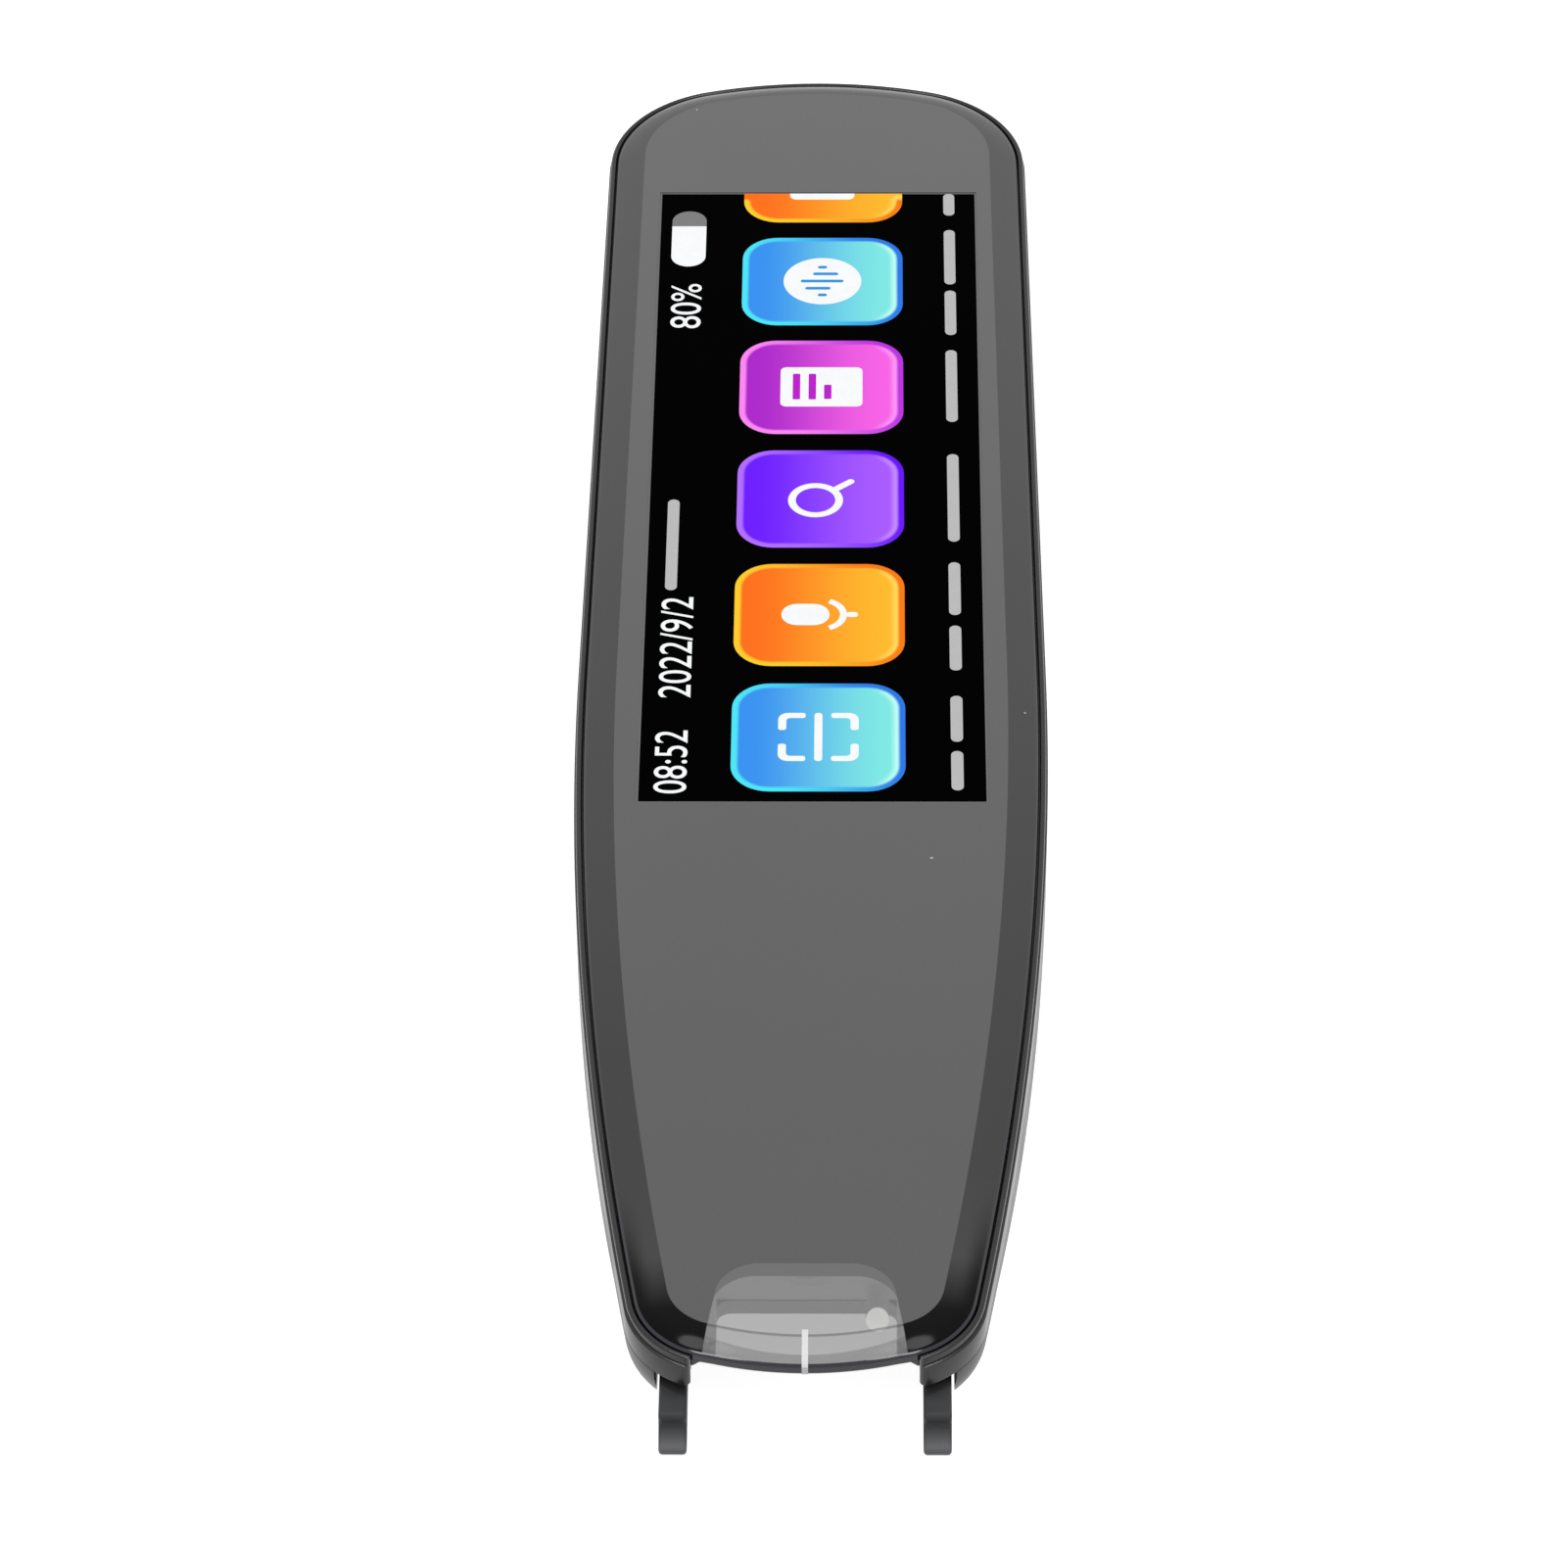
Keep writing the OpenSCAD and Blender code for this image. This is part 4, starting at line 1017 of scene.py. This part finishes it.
def makeStatus(s, screen):
    for name in ("clock", "date", "charge"):
        makeNumbers(name + "Numbers", *s[name], s)
    flat = lambda shapes: printed(shapes, screen["base"], screen["gap"], screen["ink"])
    bars = [bar(*s["captionX"], y0, y1, s["barRound"]) for y0, y1 in s["captions"]]
    litPiece("captionBars", [flat(bars + [bar(*s["dayX"], *s["dayBar"], s["barRound"])])], [captionGlow])
    x0, x1, y0, y1, split = s["pill"]
    r = (x1 - x0) / 2.02
    full = roundedPolygon(rectangle(x0, x1, y0, split), [r, r, 0, 0], 10)
    empty = roundedPolygon(rectangle(x0, x1, split + s["pillGap"], y1), [0, 0, r, r], 10)
    litPiece("chargePill", [flat([full]), flat([empty])], [iconWhite, greyGlow])
    x0, x1, y0, y1 = lensSizes["screen"]
    w = screen["border"]
    v0, v1 = y0 + w + screen["borderGap"], y1 - w - screen["borderGap"]
    strips = [(x0, x1, y0, y0 + w), (x0, x1, y1 - w, y1), (x0, x0 + w, v0, v1), (x1 - w, x1, v0, v1)]
    glass = lensSizes["top"] - lensSizes["screenSink"]
    edges = printed([rectangle(*b) for b in strips], glass, screen["lineGap"], screen["borderInk"])
    litPiece("screenBorder", [edges], [screenLine])


makeStatus(statusLayout, screenLayout)

print("stage: frame")

speakerY0, screwX = 43.4, 9.5
screwRows = (speakerY0 + 11 + 2.8, 104.9)    # the first pair stands behind the speaker

# The insets named ...In are from the body's outline; the rest are heights, or places from the middle and the nose
frameSizes = {
    "seam": 8.3, "wallTop": 9.98, "rim": 0.55, "rimTop": 10.75, "ledge": 9.85, "ledgeUnder": 9.1,
    "plate": 7.6, "plateTop": 8.2, "plateFront": 18.5,
    "tongueIn": 0.68, "wallIn": 1.5, "ledgeIn": 2.6, "plateIn": 2.5,
    "groove": 0.14, "cheekRound": 0.4, "blockX": 7.25, "mouthX": 5.85, "notch": 8.0, "tab": 2.2, "tabSlant": 1.0,
    "slotX0": 7.3, "slotX1": 9.5, "armRoom": 17.55, "seat": (10.0, 7.2, 9.8),
    "bosses": [(screwX, screwRows, 2.0, 4.2, 7.7, 32)],    # up into the plate
    "bores": [(8.4, (8.5,), 1.0, 6.5, 9.0, 24), (screwX, screwRows, 0.7, 3, 7.3, 20)],
    "flexGap": (-5.6, 5.6, 129.2, 131.4, 5, 12),
}
far = 60    # past the whole pen's section, for cutters


# Upright cutter that rounds the corner where a cut at x meets the nose's outer face. Its arc has its centre at
# x + r on the outline moved in by r, and runs from the cut round to the outer face
def cornerCutter(x, r):
    front = slice(0, ringCount // 4)
    at = lambda column, start, points: float(np.interp(start, points[front, 0], column[front]))
    inner = edgePoints - r * edgeNormals
    cy, nx, ny = [at(v, x + r, inner) for v in (inner[:, 1], edgeNormals[:, 0], edgeNormals[:, 1])]
    a = np.linspace(math.pi, math.atan2(ny, nx) + 2 * math.pi, 10)
    arc = np.column_stack([x + r + r * np.cos(a), cy + r * np.sin(a)])
    low = at(edgePoints[:, 1], x, edgePoints) - 0.5
    tip = arc[-1] + [nx, ny]
    outline = np.concatenate([[[x - 0.2, cy + 0.01], [x, cy + 0.01]], arc, [tip, [tip[0], low], [x - 0.2, low]]])
    return prism(outline, -1, 12)


# Frame's section runs up the outer wall, over a groove and a half-round bead, down to the ledge and back inside
def makeFrame(s):
    middle, half = (s["groove"] + s["rim"]) / 2, (s["rim"] - s["groove"]) / 2
    top, wall, groove = s["rimTop"] - half * 0.9, s["wallTop"], s["groove"]
    profile = [(0.04, s["seam"]), (0.0, s["seam"] + 0.05), (0, wall - 0.12), (0.02, wall - 0.03), (0.07, wall + 0.02),
               (groove + 0.05, wall + 0.05), (groove + 0.06, top - 0.2), (groove, top - 0.1)]
    bead = np.radians(np.arange(0, 181, 20))
    profile += [(middle - half * math.cos(a), top + half * 0.9 * math.sin(a)) for a in bead]
    inside = [("rim", "ledge"), ("ledgeIn", "ledge"), ("ledgeIn", "plate"), ("wallIn", "plate"),
              ("wallIn", "ledgeUnder"), ("tongueIn", "ledgeUnder"), ("tongueIn", "seam")]
    profile += [(s[i], s[z]) for i, z in inside]
    points, faces = ringSkin([ring(i, z) for i, z in profile], loop=True)
    piece = makeObject("midFrame", points, faces, [frameBlack])
    cutBothSides(piece, boxSolid(s["slotX0"] - 0.1, s["slotX1"] + 0.1, -far, s["armRoom"], 0, s["seam"] + 0.05))
    block, mouth, tab = s["blockX"], s["mouthX"], s["tab"]
    cut(piece, boxSolid(-block, block, -far, tab, 0, far))
    cut(piece, boxSolid(-block, block, -far, s["notch"], 0, s["ledgeUnder"]))
    slant = [[mouth - 0.1, tab - 0.1], [block, tab - 0.1], [mouth - 0.1, tab + s["tabSlant"]]]
    cutBothSides(piece, prism(slant, 0, far))
    cut(piece, boxSolid(-mouth, mouth, -far, s["notch"], 0, far))
    cutBothSides(piece, cornerCutter(block, s["cheekRound"]))
    plate = makeObject("plate", *ringSkin([ring(s["plateIn"], z) for z in (s["plate"] + 0.01, s["plateTop"])]))
    cut(plate, boxSolid(-far, far, -far, s["plateFront"], 0, far))
    useTool(piece, plate, "UNION")
    combine(piece, bothSides([boxSolid(block, *s["seat"], s["seam"] + 0.05, s["ledge"])]), "UNION")
    combine(piece, bothSides(rods(s["bosses"])), "UNION")
    cut(piece, *bothSides(rods(s["bores"])), boxSolid(*s["flexGap"]))
    smoothEdges(piece, 32)
    setPiece(piece, "housing", "frame_plastic", "mid_frame")


makeFrame(frameSizes)

print("stage: back cover")

shellSizes = {
    "wall": 1.4, "floor": 1.2, "filletWidth": 4.2, "filletHeight": 4.6, "noseSquare": 2.5, "seam": 8.3, "plate": 7.6,
    "noseLift": 5.8, "taper": 40.0, "taperPower": 1.6, "tongueIn": 0.75, "tongueTop": 9.0,
    "notch": 8.0, "slotX0": 7.3, "slotX1": 9.5, "slotEnd": 11.0, "cheekRound": 0.1, "mouthX": 5.85, "mouthEnd": 12.75,
    "pivotY": 15.5, "pivotZ": 6.2, "pivotHole": 0.7, "pivotX": (5.3, 10.5),
    "earHalf": 1.3, "earRound": 1.29, "earSunk": 0.85, "earTop": 7.5, "ears": ((6.3, 7.3), (9.5, 10.5)),
    "posts": [(screwX, screwRows, 2.4, 0.6, 4.2, 32), (10.8, (111.3, 128.8), 1.6, 0.9, 5.4, 32)],
    "bores": [(screwX, screwRows, 1.75, -0.5, 1.3, 32), (screwX, screwRows, 0.85, 0.9, 9, 24),
              (10.8, (111.3, 128.8), 0.5, 3.4, 9, 16)],
    "grille": [(x, speakerY0 + 2 + 2.3 * np.arange(4), 0.45, -0.5, 2.2, 20) for x in range(-6, 7, 3)],
    # posts under the scanner's board and the rest in front of them, which stand on the slanting underside
    "scanPosts": (6.5, (20.9, 31), 1.2, 0.5, 1.45), "scanBoardY": 18.7, "scanRest": (-3, 3, 14.65, 17.9, 1.05),
    # openings in the tail end: middle x and z, then width and height or radius, and where each starts
    "usb": (-4.2, 5.9, 9.24, 3.56), "key": (6.2, 6.5, 5.6, 2.2), "mic": (1.8, 6.5, 0.4),
    "usbFrom": 133.9, "keyFrom": 138.3, "tailPast": 143.0,
    "cord": {"depth": 2.0, "z": 3.3, "turn": 60, "bore": 0.8, "boreHalf": 12, "post": 1.9, "postHalf": 5.0,
             "postSink": 0.1},
}


# Underside: height is noseLift * (1 - y / taper) ** taperPower in front of the taper's end, and 0 behind it
def belly(y):
    s = shellSizes
    return s["noseLift"] * np.maximum(0, 1 - np.asarray(y, float) / s["taper"]) ** s["taperPower"]


# Rod across the left tail corner for the lanyard's cord: its middle lies depth inside the corner's arc
def cordRod(c, r, half):
    turn = math.radians(c["turn"])
    along, side = np.array([math.cos(turn), math.sin(turn)]), np.array([math.sin(turn), -math.cos(turn)])
    middle = tailCornerCentre * [-1, 1] - side * (outlineSizes["tailCornerRadius"] - c["depth"])
    points, faces = prism(circle(c["z"], 0, r), -half, half, "y")
    flat = middle + points[:, :1] * side + points[:, 1:2] * along
    return np.column_stack([flat, points[:, 2]]), faces


# The cut wall round the mouth takes the shroud's grey with its faint painted glow: faces that stand upright inside
# the mouth's outline
def paintMouth(piece, s):
    piece.data.materials.append(mouthGreyPaintedGlow)
    x, y, z = faceCentres(piece.data).T
    upright = np.abs(faceRows(piece.data, "normal")[:, 2]) < 0.3
    inside = (np.abs(x) < s["mouthX"] + 0.02) & (z < s["pivotZ"])
    inside &= (y > s["notch"] + 0.1) & (y < s["mouthEnd"] + 0.02)
    piece.data.polygons.foreach_set("material_index", (upright & inside).astype(np.int32))


# Shell: each ring of the fillet lies at inset w * (1 - cos a) and height belly + h * (1 - sin a), outside and inside
def makeShell(s):
    fillet = lambda y: np.minimum(s["filletHeight"], s["seam"] - belly(y) - 0.3)
    innerFillet = lambda y: np.minimum(fillet(y), s["plate"] - belly(y) - s["floor"]) - s["floor"] / 2 + 0.3
    width = s["filletWidth"] - s["noseSquare"] * belly(edgePoints[:, 1]) / s["noseLift"]
    skin = lambda inset, wide, lift, high, turns: [
        ring(inset + wide * (1 - math.cos(a)), lambda y: lift + belly(y) + high(y) * (1 - math.sin(a)))
        for a in np.radians(turns)]
    outer = lambda sink: skin(sink, width, sink, fillet, np.linspace(90, 0, 13))
    inner = skin(s["wall"], s["filletWidth"] - s["floor"] / 2, s["floor"], innerFillet, np.linspace(0, 90, 7))
    lip = [(0, s["seam"] - 0.05), (0.04, s["seam"]), (s["tongueIn"], s["seam"]), (s["tongueIn"], s["tongueTop"]),
           (s["wall"], s["tongueTop"])]
    points, faces = ringSkin(outer(0) + [ring(i, z) for i, z in lip] + inner)
    piece = makeObject("backCover", points, faces, [shellBlack])

    x, places, r, sunk, top = s["scanPosts"]
    scanPosts = [(x, (y,), r, belly(y) + sunk, belly(s["scanBoardY"]) + top, 32) for y in places]
    *rest, high = s["scanRest"]
    low = belly(rest[2] - 0.5) + 0.25
    combine(piece, bothSides(rods(s["posts"] + scanPosts)) + [boxSolid(*rest, low, low + high)], "UNION")
    y, half = s["pivotY"], s["earHalf"]
    ear = rectangle(y - half, y + half, belly(y) + s["earSunk"], s["earTop"])
    ear = roundedPolygon(ear, [0, 0, s["earRound"], s["earRound"]])
    combine(piece, bothSides([prism(ear, x0, x1, "x") for x0, x1 in s["ears"]]), "UNION")
    cord = s["cord"]
    post = makeObject("post", *cordRod(cord, cord["post"], cord["postHalf"]))
    sink = cord["postSink"]
    combine(post, [ringSkin(outer(sink) + [ring(sink, s["seam"] - 0.1)])], "INTERSECT")
    useTool(piece, post, "UNION")

    under, over = -0.5, 11.5
    cut(piece, boxSolid(-s["slotX1"], s["slotX1"], -far, s["notch"], under, over))
    cutBothSides(piece, boxSolid(s["slotX0"], s["slotX1"], 0, s["slotEnd"], under, over))
    cutBothSides(piece, cornerCutter(s["slotX1"], s["cheekRound"]))
    mouth = roundedPolygon(rectangle(-s["mouthX"], s["mouthX"], 0, s["mouthEnd"]), [0, 0, 1, 1], 8)
    cut(piece, prism(mouth, under, 11))
    holes = [prism(circle(y, s["pivotZ"], s["pivotHole"], 24), *s["pivotX"], "x")]
    holes = bothSides(holes + rods(s["bores"])) + rods(s["grille"])
    through = lambda shape, y0: prism(shape[:, ::-1], y0, s["tailPast"], "y")
    holes += [through(stadium(*s["usb"]), s["usbFrom"]), through(stadium(*s["key"]), s["keyFrom"]),
              through(circle(*s["mic"], 20), s["keyFrom"]), cordRod(cord, cord["bore"], cord["boreHalf"])]
    cut(piece, *holes[0::2])
    cut(piece, *holes[1::2])
    paintMouth(piece, s)
    smoothEdges(piece, 32)
    setPiece(piece, "housing", "shell_plastic", "back_cover")


makeShell(shellSizes)

print("stage: feet")

footBlack = footMaterial("footBlack", colour(0.05, 0.051, 0.053), colour(0.145, 0.147, 0.152), -0.5, -1.7)

footSizes = {
    "x0": 7.5, "x1": 9.3, "armTop": 7.3, "arm": 5.5, "sole": 4.6, "reach": 1.7, "edge": 0.26,
    "bar": (20.0, 21.8), "barX": 8.5, "pivot": (15.5, 6.2), "hub": 1.25, "hole": 0.75,
}


# Each foot is a dog-leg outline in y and z, with rounded corners, carried along x with rounded ends
def makeFeet(s):
    (b0, b1), top, arm, sole, reach = s["bar"], s["armTop"], s["arm"], s["sole"], s["reach"]
    outline = roundedPolygon(
        [[b1, top], [-0.55, top], [-0.35, top - 0.95], [-reach, sole + 0.7], [0.3 - reach, sole], [-0.2, sole],
         [2.6, arm], [b1, arm]], [0.35, 0.36, 0.55, 0.4, 0.36, 0.6, 1, 0.35])
    arms = bothSides([prism(outline, s["x0"], s["x1"], "x", s["edge"], 5)])
    piece = makeObject("triggerYoke", *together(arms), [footBlack])
    hub = prism(circle(*s["pivot"], s["hub"]), s["x0"] + 0.02, s["x1"] - 0.02, "x")
    combine(piece, bothSides([hub]), "UNION")
    combine(piece, [boxSolid(-s["barX"], s["barX"], b0, b1 - 0.05, arm + 0.02, top - 0.02)], "UNION")
    cutBothSides(piece, prism(circle(*s["pivot"], s["hole"], 24), 5, 12, "x"))
    smoothEdges(piece, 32)
    setPiece(piece, "trigger", "foot_plastic", "trigger_yoke")


makeFeet(footSizes)

print("stage: trigger springs")

springSizes = {
    "x": 8.4, "y": 8.5, "z": (7.35, 8.95), "radius": 0.64, "wire": 0.11,
    "turns": 5, "ends": 0.13, "steps": 130, "sides": 10, "squashed": 0.77,
}
springSteel = plainMaterial(
    "springSteel", colour(0.5, 0.51, 0.53), 0.28, grain=0, vary=0.12, cloud=900.0, Metallic=1.0)


# Wire: its middle is at (r cos a, r sin a) and climbs evenly, but lies flat in the first and last part of the turns.
# Each ring of the wire is at radius r + w cos b and height z + w sin b, and small end rings close it
def makeSprings(s):
    t = np.linspace(0, 1, s["steps"] + 1)
    a = 2 * math.pi * s["turns"] * t
    rise = np.clip((t - s["ends"]) / (1 - 2 * s["ends"]), 0, 1)
    wire = np.concatenate([[0.01], np.full(len(t) - 2, s["wire"]), [0.01]])[:, None]
    middle = s["z"][0] + s["wire"] + rise * (s["z"][1] - s["z"][0] - 2 * s["wire"])
    b = np.arange(s["sides"]) * 2 * math.pi / s["sides"]
    out = s["radius"] + wire * np.cos(b)
    points = np.stack([s["x"] + out * np.cos(a)[:, None], s["y"] + out * np.sin(a)[:, None],
                       middle[:, None] + wire * np.sin(b)], -1).reshape(-1, 3)
    faces = [f[::-1] for f in cappedFaces(len(t), s["sides"])]
    piece = makeObject("triggerSprings", *together(bothSides([(points, faces)])), [springSteel], None, 50)
    setPiece(piece, "housing", "steel", "trigger_springs")
    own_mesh(piece)


makeSprings(springSizes)

print("stage: finishes of the pieces that stay as they are")

# Finish: the nodes that take it, then its tint, roughness and the rest of its look
# Painted glow: a faint emission that brightens the scan chamber's walls and the camera lens, which are no lamps
lit = dict(Emission_Color=colour(1), Emission_Strength=0.12)
insideLooks = {
    "boardGreen": ("main_board scan_board", (0.008, 0.085, 0.035), 0.3, dict(vary=0.35, cloud=700.0)),
    "chipBlack": ("processor_chip memory_chip", (0.018, 0.018, 0.019), 0.5, dict(vary=0.3, cloud=900.0)),
    "tinPlate": ("shield_can usb_socket", (0.6, 0.61, 0.62), 0.3, dict(vary=0.12, cloud=500.0, Metallic=1.0)),
    "plainSteel": ("board_screws housing_screws trigger_pins", (0.52, 0.53, 0.55), 0.26,
                   dict(vary=0.12, cloud=900.0, Metallic=1.0)),
    "switchTin": ("power_switch trigger_switch microphone", (0.5, 0.5, 0.49), 0.35,
                  dict(vary=0.15, cloud=900.0, Metallic=1.0)),
    "copperFilm": ("antenna", (0.62, 0.3, 0.12), 0.3, dict(vary=0.15, Metallic=1.0)),
    "amberFilm": ("display_flex scan_flex", (0.5, 0.2, 0.03), 0.22, dict(vary=0.2, cloud=400.0)),
    "foilPouch": ("battery", (0.55, 0.56, 0.58), 0.33, dict(vary=0.18, cloud=250.0, Metallic=0.9)),
    "paleTape": ("battery_tape", (0.7, 0.7, 0.68), 0.6, dict(vary=0.12, cloud=600.0)),
    "leadRed": ("battery_lead", (0.4, 0.015, 0.015), 0.42, dict(vary=0.2)),
    "tapeBlack": ("lens_adhesive display_foam speaker_gasket", (0.02, 0.02, 0.021), 0.75,
                  dict(vary=0.4, cloud=1200.0)),
    "mouldBlack": ("speaker power_plunger trigger_plunger", (0.016, 0.016, 0.017), 0.5, dict(vary=0.3)),
    "panelBlack": ("display_module", (0.004, 0.004, 0.005), 0.12, dict(vary=0.3)),
    "keyBlack": ("power_key", (0.015, 0.015, 0.016), 0.34, dict(wear=0.5, dusty=0.02)),
    "plugBlack": ("screw_plugs", (0.013, 0.013, 0.014), 0.55, dict(wear=0.4, dusty=0.04)),
    "shroudGreyPaintedGlow": ("scan_shroud camera_module", (0.6, 0.6, 0.61), 0.55, dict(vary=0.06, **lit)),
    "lensMilkyPaintedGlow": ("camera_lens", (0.5, 0.5, 0.53), 0.3, dict(vary=0.08, cloud=500.0, **lit)),
}


def dress(node, material):
    piece = nodes[node]
    if not piece.material_slots:
        piece.data.materials.append(material)
    for place in piece.material_slots:
        place.material = material


for finish, (wearers, tint, rough, look) in insideLooks.items():
    skin = plainMaterial(finish, colour(*tint), rough, **look)
    for wearer in wearers.split():
        dress(wearer, skin)


# The light's dome glows in front of a slanting line across it, and its body behind is the shroud's grey with a faint
# painted glow
def ledMaterial(name, front, slope, middle):
    material, tree, shader = newMaterial(name, Roughness=0.35, Emission_Strength=1.0)
    _, y, z = millimetres(tree)
    slanted = minus(y, times(minus(z, middle), slope))
    glows = remap(slanted, front + 0.08, front - 0.08)
    made = useGroup(tree, moulded, Colour=colour(0.3), Vary=0.06, **glowGrain)
    feed(shader["Base Color"], made[0])
    feed(shader["Emission Color"], mixColour(glows, colour(0.14), colour(1.2, 1.21, 1.17)))
    return material


dress("scan_led", ledMaterial("ledDome", 10.15, 0.5, 5.2))
